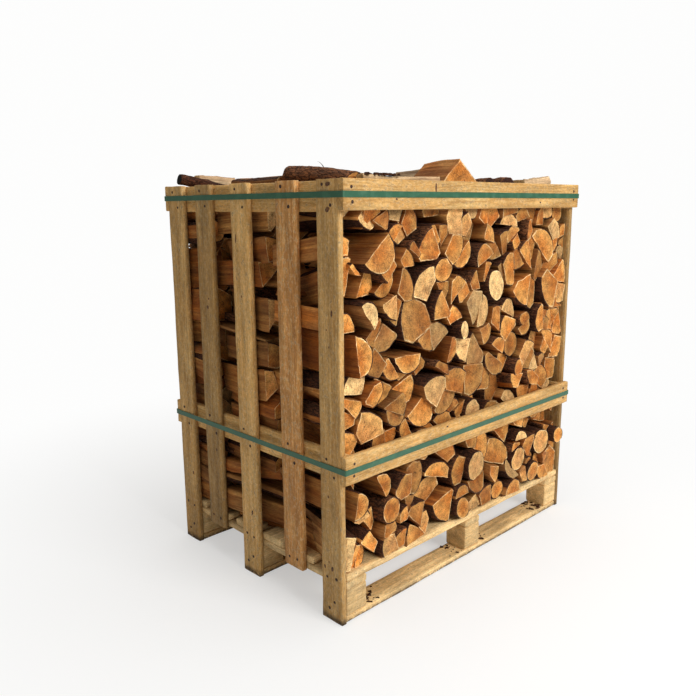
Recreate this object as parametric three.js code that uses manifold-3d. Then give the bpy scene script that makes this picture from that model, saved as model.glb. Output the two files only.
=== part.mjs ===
// Slatted firewood crate on a skid base, packed with split logs and held by two plastic straps.
// Units are millimetres. +Z is up, the floor is Z = 0. X runs along the face that shows the log
// ends, Y runs from that front face to the back.
import * as THREE from 'three';
import { mergeVertices } from 'three/addons/utils/BufferGeometryUtils.js';
import Module from 'manifold-3d';

const wasm = await Module();
wasm.setup();

// ---- Crate --------------------------------------------------------------------------------
const CRATE_WIDTH = 1100; // X, over the slats
const CRATE_DEPTH = 760; // Y, over the slats and without the boards nailed to their edges
const CRATE_HEIGHT = 1150; // floor to rim
const SIDE_BOARD = 18; // thickness of slats, rails and front and back boards
const SLAT_WIDTH = 78;
const SLAT_CENTRES = [341, 192, 15, -184, -341]; // Y of each slat, back to front
const LONG_SLATS = [true, false, true, false, true]; // the long ones reach the floor
const RAIL_HEIGHT = 75; // all horizontal boards of the sides, front and back
const RIM_RAIL_DROP = 3; // the side rails sit a little below the rim
const MIDDLE_BOARD_TOP = 470;
const TOUCH = 0.3; // air left between touching pieces

// ---- Skid base ----------------------------------------------------------------------------
const RUNNER_THICKNESS = 20;
const BLOCK_HEIGHT = 76;
const BASE_BOARD = 22; // cross boards and deck boards
const BASE_WIDTH = 75; // runners, blocks and cross boards
const RUNNER_CENTRES = [-341, 15, 341]; // Y
const CROSS_CENTRES = [-494, 22, 494]; // X
const DECK_BOARDS = 6;
const DECK_BOARD_WIDTH = 98;

// ---- Straps -------------------------------------------------------------------------------
const STRAP_WIDTH = 15;
const STRAP_THICKNESS = 0.9;
const STRAP_BEND = 2.2; // inside radius where a strap turns a corner
const STRAP_HEIGHTS = { upper: 1113, lower: 431 };

// ---- Log rows -----------------------------------------------------------------------------
const ROW_BOTTOM_AIR = 2;
const ROW_TOP = 1102;
const ROW_SIDE_AIR = 2; // between the row and the inside of the slats or rails
const ROW_PROUD = 14; // how far end faces stand out between the front or back boards
const ROWS = {
  front: { near: -380, far: -132, proud: 'near' },
  middle: { near: -62, far: 188, proud: 'none' },
  back: { near: 200, far: 380, proud: 'far' },
};

// ---- Derived levels -----------------------------------------------------------------------
const HALF_WIDTH = CRATE_WIDTH / 2;
const HALF_DEPTH = CRATE_DEPTH / 2;
const INSIDE_SLATS = HALF_WIDTH - SIDE_BOARD;
const INSIDE_RAILS = INSIDE_SLATS - SIDE_BOARD;
const CROSS_BOTTOM = RUNNER_THICKNESS + BLOCK_HEIGHT;
const DECK_BOTTOM = CROSS_BOTTOM + BASE_BOARD;
const DECK_TOP = DECK_BOTTOM + BASE_BOARD;
const BOARD_LEVELS = {
  top: { bottom: CRATE_HEIGHT - RAIL_HEIGHT, top: CRATE_HEIGHT },
  middle: { bottom: MIDDLE_BOARD_TOP - RAIL_HEIGHT, top: MIDDLE_BOARD_TOP },
};

// ---- Finishes -----------------------------------------------------------------------------
const finish = (color, roughness) => new THREE.MeshStandardMaterial({ color, roughness, metalness: 0 });
const PALE_PINE = finish(0xd9bd84, 0.75);
const RED_PINE = finish(0xb98a55, 0.75);
const BASE_PINE = finish(0xcdb079, 0.8);
const SPLIT_WOOD = finish(0xc98a4b, 0.8);
const BARK = finish(0x54382a, 0.95);
const STRAP_GREEN = finish(0x3f7f5d, 0.45);

const crate = new THREE.Group();

function place(name, geometry, material) {
  const mesh = new THREE.Mesh(geometry, material);
  mesh.name = name;
  crate.add(mesh);
  return mesh;
}

// A board between two corners, with TOUCH / 2 of air left all round it.
function board(name, low, high, material) {
  const size = high.map((value, axis) => value - low[axis] - TOUCH);
  const mesh = place(name, new THREE.BoxGeometry(...size), material);
  mesh.position.set(...high.map((value, axis) => (value + low[axis]) / 2));
  return mesh;
}

// A piece that stands on the floor keeps its bottom at Z = 0.
function floorBoard(name, low, high, material) {
  return board(name, [low[0], low[1], -TOUCH / 2], high, material);
}

// ---- Booleans -----------------------------------------------------------------------------
function toSolid(geometry) {
  const bare = geometry.index ? geometry.toNonIndexed() : geometry.clone();
  bare.deleteAttribute('normal');
  bare.deleteAttribute('uv');
  const merged = mergeVertices(bare, 1e-4);
  const vertProperties = new Float32Array(merged.attributes.position.array);
  const triVerts = new Uint32Array(merged.index.array);
  return new wasm.Manifold(new wasm.Mesh({ numProp: 3, vertProperties, triVerts }));
}

function toGeometry(solid) {
  const mesh = solid.getMesh();
  const geometry = new THREE.BufferGeometry();
  geometry.setAttribute('position', new THREE.BufferAttribute(mesh.vertProperties, 3));
  geometry.setIndex(new THREE.BufferAttribute(mesh.triVerts, 1));
  geometry.computeVertexNormals();
  return geometry;
}

function boxSolid(low, high) {
  const size = high.map((value, axis) => value - low[axis]);
  const centre = high.map((value, axis) => (value + low[axis]) / 2);
  return toSolid(new THREE.BoxGeometry(...size).translate(...centre));
}

// ---- Side walls: slats outside, rails inside -----------------------------------------------
for (const [side, sign] of [['left', -1], ['right', 1]]) {
  const across = (inner, outer) => (sign > 0 ? [inner, outer] : [-outer, -inner]);
  const [slatLow, slatHigh] = across(INSIDE_SLATS, HALF_WIDTH);
  SLAT_CENTRES.forEach((centre, index) => {
    const low = [slatLow, centre - SLAT_WIDTH / 2, CROSS_BOTTOM];
    const high = [slatHigh, centre + SLAT_WIDTH / 2, CRATE_HEIGHT];
    const material = side === 'left' && index === 3 ? RED_PINE : PALE_PINE;
    const make = LONG_SLATS[index] ? floorBoard : board;
    make(`${side}_slat_${index + 1}`, low, high, material);
  });
  const [railLow, railHigh] = across(INSIDE_RAILS, INSIDE_SLATS);
  for (const [level, { bottom, top }] of Object.entries(BOARD_LEVELS)) {
    const low = [railLow, -HALF_DEPTH, bottom - RIM_RAIL_DROP];
    const high = [railHigh, HALF_DEPTH, top - RIM_RAIL_DROP];
    board(`${side}_${level}_rail`, low, high, PALE_PINE);
  }
}

// ---- Front and back boards -------------------------------------------------------------------
for (const [face, sign] of [['front', -1], ['back', 1]]) {
  const inner = sign * HALF_DEPTH;
  const outer = sign * (HALF_DEPTH + SIDE_BOARD);
  for (const [level, { bottom, top }] of Object.entries(BOARD_LEVELS)) {
    const low = [-HALF_WIDTH, Math.min(inner, outer), bottom];
    const high = [HALF_WIDTH, Math.max(inner, outer), top];
    board(`${face}_${level}_board`, low, high, PALE_PINE);
  }
}

// ---- Skid base --------------------------------------------------------------------------------
const PLACE_NAMES = ['front', 'middle', 'back'];
const CROSS_NAMES = ['left', 'middle', 'right'];
PLACE_NAMES.forEach((row, rowIndex) => {
  const y = RUNNER_CENTRES[rowIndex];
  const near = y - BASE_WIDTH / 2;
  const far = y + BASE_WIDTH / 2;
  floorBoard(`runner_${row}`, [-INSIDE_SLATS, near, 0], [INSIDE_SLATS, far, RUNNER_THICKNESS], BASE_PINE);
  CROSS_NAMES.forEach((column, columnIndex) => {
    const x = CROSS_CENTRES[columnIndex];
    const low = [x - BASE_WIDTH / 2, near, RUNNER_THICKNESS];
    const high = [x + BASE_WIDTH / 2, far, CROSS_BOTTOM];
    board(`block_${row}_${column}`, low, high, BASE_PINE);
  });
});
CROSS_NAMES.forEach((column, columnIndex) => {
  const x = CROSS_CENTRES[columnIndex];
  const low = [x - BASE_WIDTH / 2, -HALF_DEPTH, CROSS_BOTTOM];
  const high = [x + BASE_WIDTH / 2, HALF_DEPTH, DECK_BOTTOM];
  board(`cross_board_${column}`, low, high, BASE_PINE);
});
const deckPitch = (CRATE_DEPTH - DECK_BOARD_WIDTH) / (DECK_BOARDS - 1);
for (let index = 0; index < DECK_BOARDS; index += 1) {
  const near = -HALF_DEPTH + index * deckPitch;
  const low = [-INSIDE_SLATS, near, DECK_BOTTOM];
  const high = [INSIDE_SLATS, near + DECK_BOARD_WIDTH, DECK_TOP];
  board(`deck_board_${index + 1}`, low, high, BASE_PINE);
}

// ---- Straps: thin closed bands round slats and boards --------------------------------------------
function roundedRectangle(Path, halfX, halfY, radius) {
  const path = new Path();
  path.moveTo(halfX, -halfY + radius);
  path.lineTo(halfX, halfY - radius);
  path.absarc(halfX - radius, halfY - radius, radius, 0, Math.PI / 2);
  path.lineTo(-halfX + radius, halfY);
  path.absarc(-halfX + radius, halfY - radius, radius, Math.PI / 2, Math.PI);
  path.lineTo(-halfX, -halfY + radius);
  path.absarc(-halfX + radius, -halfY + radius, radius, Math.PI, 1.5 * Math.PI);
  path.lineTo(halfX - radius, -halfY);
  path.absarc(halfX - radius, -halfY + radius, radius, 1.5 * Math.PI, 2 * Math.PI);
  return path;
}
for (const [level, height] of Object.entries(STRAP_HEIGHTS)) {
  const halfX = HALF_WIDTH + STRAP_BEND / 2;
  const halfY = HALF_DEPTH + SIDE_BOARD + STRAP_BEND / 2;
  const outerRadius = STRAP_BEND + STRAP_THICKNESS;
  const outline = roundedRectangle(
    THREE.Shape, halfX + STRAP_THICKNESS, halfY + STRAP_THICKNESS, outerRadius,
  );
  outline.holes.push(roundedRectangle(THREE.Path, halfX, halfY, STRAP_BEND));
  const band = new THREE.ExtrudeGeometry(outline, {
    depth: STRAP_WIDTH, bevelEnabled: false, curveSegments: 5,
  });
  place(`strap_${level}`, band, STRAP_GREEN).position.z = height - STRAP_WIDTH / 2;
}

// ---- Log rows ---------------------------------------------------------------------------------------
// Each row of stacked logs is one body: it fills the crate between the slats, is notched round the
// side rails, and stands proud between the front or back boards.
function logRow({ near, far, proud }) {
  const halfX = INSIDE_SLATS - ROW_SIDE_AIR;
  const bottom = DECK_TOP + ROW_BOTTOM_AIR;
  const nearFace = near + (proud === 'near' ? ROW_SIDE_AIR : 0);
  const farFace = far - (proud === 'far' ? ROW_SIDE_AIR : 0);
  let row = boxSolid([-halfX, nearFace, bottom], [halfX, farFace, ROW_TOP]);
  const proudBands = [
    [bottom, BOARD_LEVELS.middle.bottom - ROW_SIDE_AIR],
    [BOARD_LEVELS.middle.top + ROW_SIDE_AIR, BOARD_LEVELS.top.bottom - ROW_SIDE_AIR],
  ];
  for (const [low, high] of proudBands) {
    if (proud === 'near') {
      row = row.add(boxSolid([-halfX, near - ROW_PROUD, low], [halfX, nearFace + 1, high]));
    }
    if (proud === 'far') {
      row = row.add(boxSolid([-halfX, farFace - 1, low], [halfX, far + ROW_PROUD, high]));
    }
  }
  const notchX = INSIDE_RAILS - ROW_SIDE_AIR;
  for (const { bottom: low, top: high } of Object.values(BOARD_LEVELS)) {
    for (const sign of [-1, 1]) {
      const xs = [sign * notchX, sign * (HALF_WIDTH + 1)].sort((a, b) => a - b);
      const zLow = low - RIM_RAIL_DROP - ROW_SIDE_AIR;
      const zHigh = high - RIM_RAIL_DROP + ROW_SIDE_AIR;
      row = row.subtract(boxSolid([xs[0], -CRATE_DEPTH, zLow], [xs[1], CRATE_DEPTH, zHigh]));
    }
  }
  return toGeometry(row);
}
for (const [name, row] of Object.entries(ROWS)) {
  place(`log_row_${name}`, logRow(row), SPLIT_WOOD);
}

// ---- Loose logs on top --------------------------------------------------------------------------------
// Each outline is drawn across the log with its split heart at the top or bottom and its bark on the
// arc. A log is straight, tapers a little and lies along +Y before it is turned.
//   round:   a full stem of the given radius
//   half:    a half round, flat side down
//   quarter: a quarter with its heart edge up and its bark down
//   slab:    a flat board-like split, width 2 * radius and the given thickness
const ROUND_STEPS = 14;
const ARC_STEPS = 7;

function arcPoints(radius, from, to, steps) {
  return Array.from({ length: steps + 1 }, (_, step) => {
    const angle = from + ((to - from) * step) / steps;
    return new THREE.Vector2(radius * Math.cos(angle), radius * Math.sin(angle));
  });
}

function logOutline({ shape, radius, thickness = radius, spread = 100 }) {
  if (shape === 'round') return arcPoints(radius, 0, 2 * Math.PI, ROUND_STEPS).slice(0, -1);
  if (shape === 'half') {
    const flatten = new THREE.Vector2(1, thickness / radius);
    return arcPoints(radius, 0, Math.PI, ARC_STEPS).map((point) => point.multiply(flatten));
  }
  if (shape === 'quarter') {
    const halfSpread = (spread * Math.PI) / 360;
    const down = -Math.PI / 2;
    const bark = arcPoints(radius, down - halfSpread, down + halfSpread, ARC_STEPS);
    return [new THREE.Vector2(0, 0), ...bark];
  }
  const half = thickness / 2;
  const corners = [[-0.96, -1], [0.92, -0.9], [1, 0.3], [0.8, 1], [-0.84, 0.86], [-1, -0.2]];
  return corners.map(([x, z]) => new THREE.Vector2(x * radius, z * half));
}

function logGeometry(log) {
  const outline = logOutline(log);
  const options = { depth: log.length, bevelEnabled: false };
  const body = new THREE.ExtrudeGeometry(new THREE.Shape(outline), options);
  // The extrusion runs along +Z: centre it, taper it, and turn it to run along +Y.
  body.translate(0, 0, -log.length / 2);
  const position = body.attributes.position;
  for (let i = 0; i < position.count; i += 1) {
    const along = position.getZ(i) / log.length; // -0.5 at the near end, 0.5 at the far end
    const scale = 1 - (log.taper ?? 0.06) * (along + 0.5);
    position.setXY(i, position.getX(i) * scale, position.getY(i) * scale);
  }
  body.rotateX(Math.PI / 2); // outline's up becomes +Z, the near end faces -Y
  body.scale(1, -1, 1);
  flipFaces(body);
  return body;
}

// Mirroring a geometry turns its faces inside out: swap two corners of each face to put that right.
function flipFaces(geometry) {
  const position = geometry.attributes.position;
  for (let i = 0; i < position.count; i += 3) {
    for (const get of ['X', 'Y', 'Z']) {
      const second = position[`get${get}`](i + 1);
      position[`set${get}`](i + 1, position[`get${get}`](i + 2));
      position[`set${get}`](i + 2, second);
    }
  }
  geometry.computeVertexNormals();
}

// at: centre of the log's axis; turn: degrees about Z, 0 lies along Y and 90 lies along X;
// tip: degrees that the far end points up.
const LOOSE_LOGS = [
  // front row, left to right
  {
    name: 'top_log_near_corner', shape: 'round', radius: 33, length: 246, bark: true,
    at: [-456, -219, 1151], turn: 0, tip: 6,
  },
  {
    name: 'top_log_front_slab', shape: 'slab', radius: 15, thickness: 60, length: 296,
    at: [-312, -362, 1134], turn: 90, tip: 0,
  },
  {
    name: 'top_log_big_wedge', shape: 'quarter', radius: 108, spread: 82, length: 246,
    at: [24, -227, 1215], turn: 25, tip: 0,
  },
  {
    name: 'top_log_thin_half', shape: 'half', radius: 32, thickness: 64, length: 210,
    at: [144, -252, 1104], turn: 22, tip: 0,
  },
  {
    name: 'top_log_small_half', shape: 'half', radius: 42, thickness: 68, length: 234, bark: true,
    at: [233, -242, 1104], turn: 20, tip: 0,
  },
  {
    name: 'top_log_right_slab', shape: 'slab', radius: 38, thickness: 56, length: 156,
    at: [363, -322, 1145], turn: 90, tip: 5.5,
  },
  // middle row
  {
    name: 'top_log_dark_slab', shape: 'slab', radius: 42, thickness: 62, length: 226, bark: true,
    at: [-452, 25, 1140], turn: 2, tip: 0,
  },
  {
    name: 'top_log_middle_round', shape: 'round', radius: 34, length: 246, bark: true,
    at: [-262, 62, 1142], turn: -5, tip: 1,
  },
  {
    name: 'top_log_middle_half', shape: 'half', radius: 54, thickness: 58, length: 240,
    at: [-80, 58, 1105], turn: 6, tip: 0,
  },
  {
    name: 'top_log_grey_wedge', shape: 'quarter', radius: 98, spread: 96, length: 240, bark: true,
    at: [196, 52, 1205], turn: 27, tip: 0,
  },
  {
    name: 'top_log_middle_quarter', shape: 'quarter', radius: 70, spread: 92, length: 236,
    at: [400, 58, 1176], turn: 8, tip: 0,
  },
  // back row
  {
    name: 'top_log_back_corner', shape: 'round', radius: 18, taper: 0.1, length: 196, bark: true,
    at: [-438, 336, 1153], turn: 90, tip: -10,
  },
  {
    name: 'top_log_back_strip', shape: 'slab', radius: 18, thickness: 30, length: 140,
    at: [-379, 375, 1168], turn: 90, tip: -2,
  },
  {
    name: 'top_log_back_slab', shape: 'slab', radius: 44, thickness: 58, length: 160,
    at: [-206, 280, 1134], turn: 10, tip: 0,
  },
  {
    name: 'top_log_back_half', shape: 'half', radius: 48, thickness: 64, length: 164, bark: true,
    at: [52, 287, 1104], turn: -5, tip: 0,
  },
  {
    name: 'top_log_back_quarter', shape: 'quarter', radius: 74, spread: 94, length: 160,
    at: [330, 285, 1181], turn: -6, tip: 0,
  },
];
for (const log of LOOSE_LOGS) {
  const mesh = place(log.name, logGeometry(log), log.bark ? BARK : SPLIT_WOOD);
  mesh.position.set(...log.at);
  mesh.rotation.order = 'ZXY';
  mesh.rotation.set(THREE.MathUtils.degToRad(log.tip), 0, THREE.MathUtils.degToRad(-log.turn));
}

export default crate;
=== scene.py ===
"""Looks of a slatted firewood crate on a skid base: sawn boards, split logs, bark, straps and nails.

Everything is in metres in the crate's own frame: X along the face that shows the log ends, Y from
that front face to the back, Z up from the floor.
"""

import logging
import math
from abc import ABC, abstractmethod
from dataclasses import dataclass, field
from enum import Enum
from functools import cached_property
from typing import Iterable, Iterator, Sequence

import bpy
import numpy as np
from mathutils import Matrix, Vector

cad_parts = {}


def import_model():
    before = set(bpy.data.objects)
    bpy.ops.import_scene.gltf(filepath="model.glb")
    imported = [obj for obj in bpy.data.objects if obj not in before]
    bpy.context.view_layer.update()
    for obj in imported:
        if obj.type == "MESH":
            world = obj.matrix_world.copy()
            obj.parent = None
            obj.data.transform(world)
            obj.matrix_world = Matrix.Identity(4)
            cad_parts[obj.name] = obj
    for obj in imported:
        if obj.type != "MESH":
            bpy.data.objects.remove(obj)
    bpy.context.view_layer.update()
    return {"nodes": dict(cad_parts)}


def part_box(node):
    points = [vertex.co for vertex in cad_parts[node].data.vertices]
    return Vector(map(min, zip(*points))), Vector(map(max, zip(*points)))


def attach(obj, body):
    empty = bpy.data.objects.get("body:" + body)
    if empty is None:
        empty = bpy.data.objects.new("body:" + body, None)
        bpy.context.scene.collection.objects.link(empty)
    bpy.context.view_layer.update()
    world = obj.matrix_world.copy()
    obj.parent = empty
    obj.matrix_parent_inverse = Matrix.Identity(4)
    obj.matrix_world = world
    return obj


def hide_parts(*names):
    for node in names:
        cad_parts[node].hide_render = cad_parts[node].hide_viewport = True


LOG = logging.getLogger("firewood_crate")
MM = 0.001
ROOT = "root"
FULL_TURN = 2 * math.pi
PLAIN_TONE = (0.5, 0.5, 1.0)
Array = np.ndarray
Random = np.random.Generator
Pair = tuple[float, float]
Place = tuple[float, float, float]
Colour = tuple[float, float, float]
Box = tuple[Vector, Vector]
Object = bpy.types.Object
Material = bpy.types.Material
Tree = bpy.types.NodeTree
Node = bpy.types.Node
Socket = bpy.types.NodeSocket
Sockets = bpy.types.bpy_prop_collection


def linear(red: int, green: int, blue: int) -> Colour:
    """Turns a display colour, from 0 to 255, into the linear values that shaders use."""
    channels = (value / 255 for value in (red, green, blue))
    return tuple(c / 12.92 if c <= 0.04045 else ((c + 0.055) / 1.055) ** 2.4 for c in channels)


# -------------------- Seeded noise for mesh detail --------------------


@dataclass(frozen=True)
class Noise:
    """Smooth noise over points in space, the same on every run.

    Attributes:
        seed: Picks one of many unlike noises.
        factors: Large odd numbers that scatter the lattice's three axes.
        mixer: A large odd number that scatters the result once more.
    """

    seed: int
    factors: tuple[int, int, int] = (0x9E3779B97F4A7C15, 0xC2B2AE3D27D4EB4F, 0x165667B19E3779F9)
    mixer: int = 0xBF58476D1CE4E5B9

    def _corner(self, cell: Array) -> Array:
        """Gives each lattice corner its own value.

        Args:
            cell: Whole-numbered corners, one row of three each.

        Returns:
            A value from -1 to 1 for each corner.
        """
        key = cell.astype(np.int64).astype(np.uint64)
        mixed = np.zeros(len(cell), np.uint64)
        for axis, factor in enumerate(self.factors):
            mixed ^= key[:, axis] * np.uint64(factor)
        mixed += np.uint64(self.seed * 7919 + 17)
        mixed ^= mixed >> np.uint64(29)
        mixed *= np.uint64(self.mixer)
        mixed ^= mixed >> np.uint64(32)
        return (mixed >> np.uint64(11)).astype(float) / float(1 << 53) * 2 - 1

    def at(self, points: Array) -> Array:
        """Noise from -1 to 1 at points whose unit is one noise cell.

        Args:
            points: Positions, one row of three values each.

        Returns:
            One value for each point.
        """
        cell = np.floor(points)
        step = points - cell
        step = step * step * (3 - 2 * step)
        total = np.zeros(len(points))
        for corner in np.ndindex(2, 2, 2):
            weight = np.prod(np.where(np.array(corner) == 1, step, 1 - step), axis=1)
            total += weight * self._corner(cell + corner)
        return total

    def fractal(self, points: Array, octaves: int = 3) -> Array:
        """Adds finer and finer noise, each octave half as strong as the last.

        Args:
            points: Positions, one row of three values each.
            octaves: How many layers are added.

        Returns:
            One value for each point.
        """
        total = np.zeros(len(points))
        for octave in range(octaves):
            total += Noise(self.seed + 101 * octave).at(points * 2**octave) / 2**octave
        return total


# -------------------- Mesh building --------------------


@dataclass
class Surface:
    """Vertices, faces and surface data of a piece, gathered before it becomes an object.

    Attributes:
        points: Blocks of vertex positions.
        grain: For each vertex, where it lies in its own timber: across, along, across.
        tone: For each vertex, lightness and warmth, mostly from 0 to 1, and the bark's distance.
        edge: For each vertex, 1 on the outline of a cut end and 0 at its middle.
        faces: Faces as vertex numbers.
        finishes: The material number of each face.
        rounded: Whether each face is shaded smooth.
        count: How many vertices there are so far.
    """

    points: list[Array] = field(default_factory=list)
    grain: list[Array] = field(default_factory=list)
    tone: list[Array] = field(default_factory=list)
    edge: list[Array] = field(default_factory=list)
    faces: list[tuple[int, ...]] = field(default_factory=list)
    finishes: list[int] = field(default_factory=list)
    rounded: list[bool] = field(default_factory=list)
    count: int = 0

    def add_points(
        self,
        points: Array,
        grain: Array,
        tone: Sequence[float] | Array = PLAIN_TONE,
        edge: float | Array = 1.0,
    ) -> int:
        """Adds vertices.

        Args:
            points: Positions in the crate's frame.
            grain: Positions in the timber.
            tone: Lightness, warmth and bark distance, shared by all or one row for each.
            edge: How near each one is to the outline of a cut end.

        Returns:
            The number of the first new vertex.
        """
        first = self.count
        self.points.append(points)
        self.grain.append(grain)
        self.tone.append(np.broadcast_to(np.asarray(tone, float), (len(points), 3)))
        self.edge.append(np.broadcast_to(np.asarray(edge, float), (len(points),)))
        self.count += len(points)
        return first

    def add_face(self, corners: Iterable[int], finish: int = 0, rounded: bool = False) -> None:
        """Adds one face.

        Args:
            corners: Its vertex numbers.
            finish: Its material number.
            rounded: Whether it is shaded smooth.
        """
        self.faces.append(tuple(corners))
        self.finishes.append(finish)
        self.rounded.append(rounded)

    def add_tube(self, first: int, rings: int, finishes: Sequence[int], cap: int, middle: int) -> None:
        """Joins rings of vertices into a smooth closed body with a fan on each end.

        Args:
            first: Number of the first ring's first vertex. Rings run counter-clockwise as seen
                from the first ring's side.
            rings: How many rings there are.
            finishes: Material number of the strip that starts at each ring vertex.
            cap: Material number of both ends.
            middle: Number of the first end's middle vertex, which the last end's follows.
        """
        around = len(finishes)
        for ring in range(rings - 1):
            low = first + ring * around
            for i, j in self._steps(around):
                corners = (low + j, low + i, low + around + i, low + around + j)
                self.add_face(corners, finishes[i], rounded=True)
        last = first + (rings - 1) * around
        for i, j in self._steps(around):
            self.add_face((first + i, first + j, middle), cap)
            self.add_face((last + j, last + i, middle + 1), cap)

    def add_loft(
        self, first: int, around: int, rings: int, closed: bool = False, peak: bool = False
    ) -> None:
        """Joins rings of vertices into a closed body with sharp edges.

        Args:
            first: Number of the first ring's first vertex.
            around: Vertices in a ring, counter-clockwise as seen from the last ring's side.
            rings: How many rings there are.
            closed: Whether the last ring joins the first, which leaves no ends.
            peak: Whether the last end rises to the vertex that follows its ring.
        """
        for ring in range(rings if closed else rings - 1):
            low = first + ring * around
            high = first + (ring + 1) % rings * around
            for i, j in self._steps(around):
                self.add_face((low + i, low + j, high + j, high + i))
        if closed:
            return
        last = first + (rings - 1) * around
        if peak:
            for i, j in self._steps(around):
                self.add_face((last + i, last + j, last + around))
        else:
            self.add_face(range(last, last + around))
        self.add_face(reversed(range(first, first + around)))

    @staticmethod
    def _steps(around: int) -> Iterator[tuple[int, int]]:
        """Each number on a ring with the one that follows it."""
        return ((i, (i + 1) % around) for i in range(around))

    def to_object(self, name: str, *materials: Material) -> Object:
        """Makes the Blender object.

        Args:
            name: The piece's name.
            materials: Its materials, in the order of the material numbers.

        Returns:
            The new object, linked to the scene.
        """
        mesh = bpy.data.meshes.new(name)
        mesh.from_pydata(np.concatenate(self.points).tolist(), [], self.faces)
        for material in materials:
            mesh.materials.append(material)
        mesh.polygons.foreach_set("material_index", self.finishes)
        mesh.polygons.foreach_set("use_smooth", self.rounded)
        for label, values in (("grain", self.grain), ("tone", self.tone)):
            layer = mesh.attributes.new(label, "FLOAT_VECTOR", "POINT")
            layer.data.foreach_set("vector", np.concatenate(values).astype(np.float32).ravel())
        layer = mesh.attributes.new("edge", "FLOAT", "POINT")
        layer.data.foreach_set("value", np.concatenate(self.edge).astype(np.float32))
        mesh.update()
        piece = bpy.data.objects.new(name, mesh)
        bpy.context.scene.collection.objects.link(piece)
        return piece


def fasten(piece: Object, slot: str, *nodes: str) -> None:
    """Lets a piece ride on the crate and hides the CAD nodes that it stands for.

    Args:
        piece: The finished piece.
        slot: Name of a material slot; not used.
        nodes: Names of the CAD nodes that it replaces.
    """
    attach(piece, ROOT)
    if nodes:
        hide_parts(*nodes)
    LOG.info("%s: %d faces", piece.name, len(piece.data.polygons))


# -------------------- Shader building --------------------


class Nodes:
    """Short ways to add and link shader nodes in one node tree."""

    def __init__(self, tree: Tree) -> None:
        """Empties the tree that the nodes go into."""
        self.tree = tree
        tree.nodes.clear()

    def add(self, kind: str, **settings: object) -> Node:
        """Adds a node.

        Args:
            kind: The node's type, without its ShaderNode prefix.
            settings: Properties to set on it.

        Returns:
            The new node.
        """
        node = self.tree.nodes.new(kind if kind.startswith("Node") else f"ShaderNode{kind}")
        for label, value in settings.items():
            setattr(node, label, value)
        return node

    def feed(self, socket: Socket, value: object) -> None:
        """Links a socket to a socket, or sets it to a plain value.

        Args:
            socket: The socket that takes the value.
            value: A socket, a number, a vector or a colour.
        """
        if isinstance(value, bpy.types.NodeSocket):
            self.tree.links.new(value, socket)
        elif isinstance(value, tuple) and socket.type == "RGBA" and len(value) == 3:
            socket.default_value = (*value, 1.0)
        else:
            socket.default_value = value

    def fill(self, node: Node, **values: object) -> Node:
        """Feeds a node's inputs by name.

        Args:
            node: The node.
            values: Input names, with _ for a space, and what they are given.

        Returns:
            The same node.
        """
        for label, value in values.items():
            self.feed(node.inputs[label.replace("_", " ")], value)
        return node

    def _wire(self, node: Node, values: Iterable[object]) -> Node:
        """Feeds a node's inputs in their order.

        Args:
            node: The node.
            values: What the inputs are given.

        Returns:
            The same node.
        """
        for socket, value in zip(node.inputs, values):
            self.feed(socket, value)
        return node

    def math(self, operation: str, *values: object, clamp: bool = False) -> Socket:
        """The result of a Math node, kept from 0 to 1 if it is clamped."""
        return self._wire(self.add("Math", operation=operation, use_clamp=clamp), values).outputs[0]

    def times(self, first: object, second: object) -> Socket:
        """The product of two values."""
        return self.math("MULTIPLY", first, second)

    def minus(self, first: object, second: object) -> Socket:
        """The first value less the second."""
        return self.math("SUBTRACT", first, second)

    def vector(self, operation: str, *values: object) -> Socket:
        """A Vector Math node's vector, or its value for LENGTH."""
        node = self._wire(self.add("VectorMath", operation=operation), values)
        return node.outputs["Value" if operation == "LENGTH" else "Vector"]

    def scaled(self, vector: Socket, x: float, y: float, z: float) -> Socket:
        """A vector stretched by its own factor along each axis."""
        return self.vector("MULTIPLY", vector, (x, y, z))

    def parts(self, vector: Socket) -> tuple[Socket, Socket, Socket]:
        """The three values of a vector."""
        return tuple(self._wire(self.add("SeparateXYZ"), [vector]).outputs)

    def joined(self, x: object, y: object, z: object) -> Socket:
        """A vector made of three values."""
        return self._wire(self.add("CombineXYZ"), (x, y, z)).outputs[0]

    def noise(self, vector: Socket, scale: float, detail: float = 2.0, roughness: float = 0.5) -> Socket:
        """The value of a Noise Texture, mostly from 0.3 to 0.7."""
        cloud = self.fill(self.add("TexNoise"), Vector=vector, Scale=scale)
        return self.fill(cloud, Detail=detail, Roughness=roughness).outputs["Fac"]

    def cells(self, vector: Socket, feature: str) -> Node:
        """A Voronoi Texture whose cells are about one unit wide."""
        node = self.add("TexVoronoi", voronoi_dimensions="3D", feature=feature)
        return self.fill(node, Vector=vector, Scale=1.0)

    def span(self, value: Socket, low: float, high: float, to: Pair = (0.0, 1.0)) -> Socket:
        """Maps a value smoothly to another range, and holds it there.

        Args:
            value: The value.
            low: Where the ramp starts.
            high: Where it ends.
            to: The results at the two.

        Returns:
            The result.
        """
        ramp = self.add("MapRange", interpolation_type="SMOOTHSTEP")
        self.fill(ramp, Value=value, From_Min=low, From_Max=high, To_Min=to[0], To_Max=to[1])
        return ramp.outputs["Result"]

    def blend(self, share: object, first: object, second: object, how: str = "MIX") -> Socket:
        """Mixes two colours.

        Args:
            share: How much of the second one is used.
            first: A colour or a socket.
            second: A colour or a socket.
            how: Blender's name of the blending.

        Returns:
            The output socket.
        """
        node = self.add("Mix", data_type="RGBA", blend_type=how)
        for number, value in ((0, share), (6, first), (7, second)):
            self.feed(node.inputs[number], value)
        return node.outputs[2]

    def group(self, group: Tree, **values: object) -> Node:
        """A shared group with its own input values."""
        return self.fill(self.add("Group", node_tree=group), **values)

    def finish(self, output: Node, share: Socket, first: Node, second: Node) -> None:
        """Links an output to two mixed shaders; share is how much of the second one is used."""
        mix = self._wire(self.add("MixShader"), (share, first.outputs[0], second.outputs[0]))
        self.feed(output.inputs["Surface"], mix.outputs[0])


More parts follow.
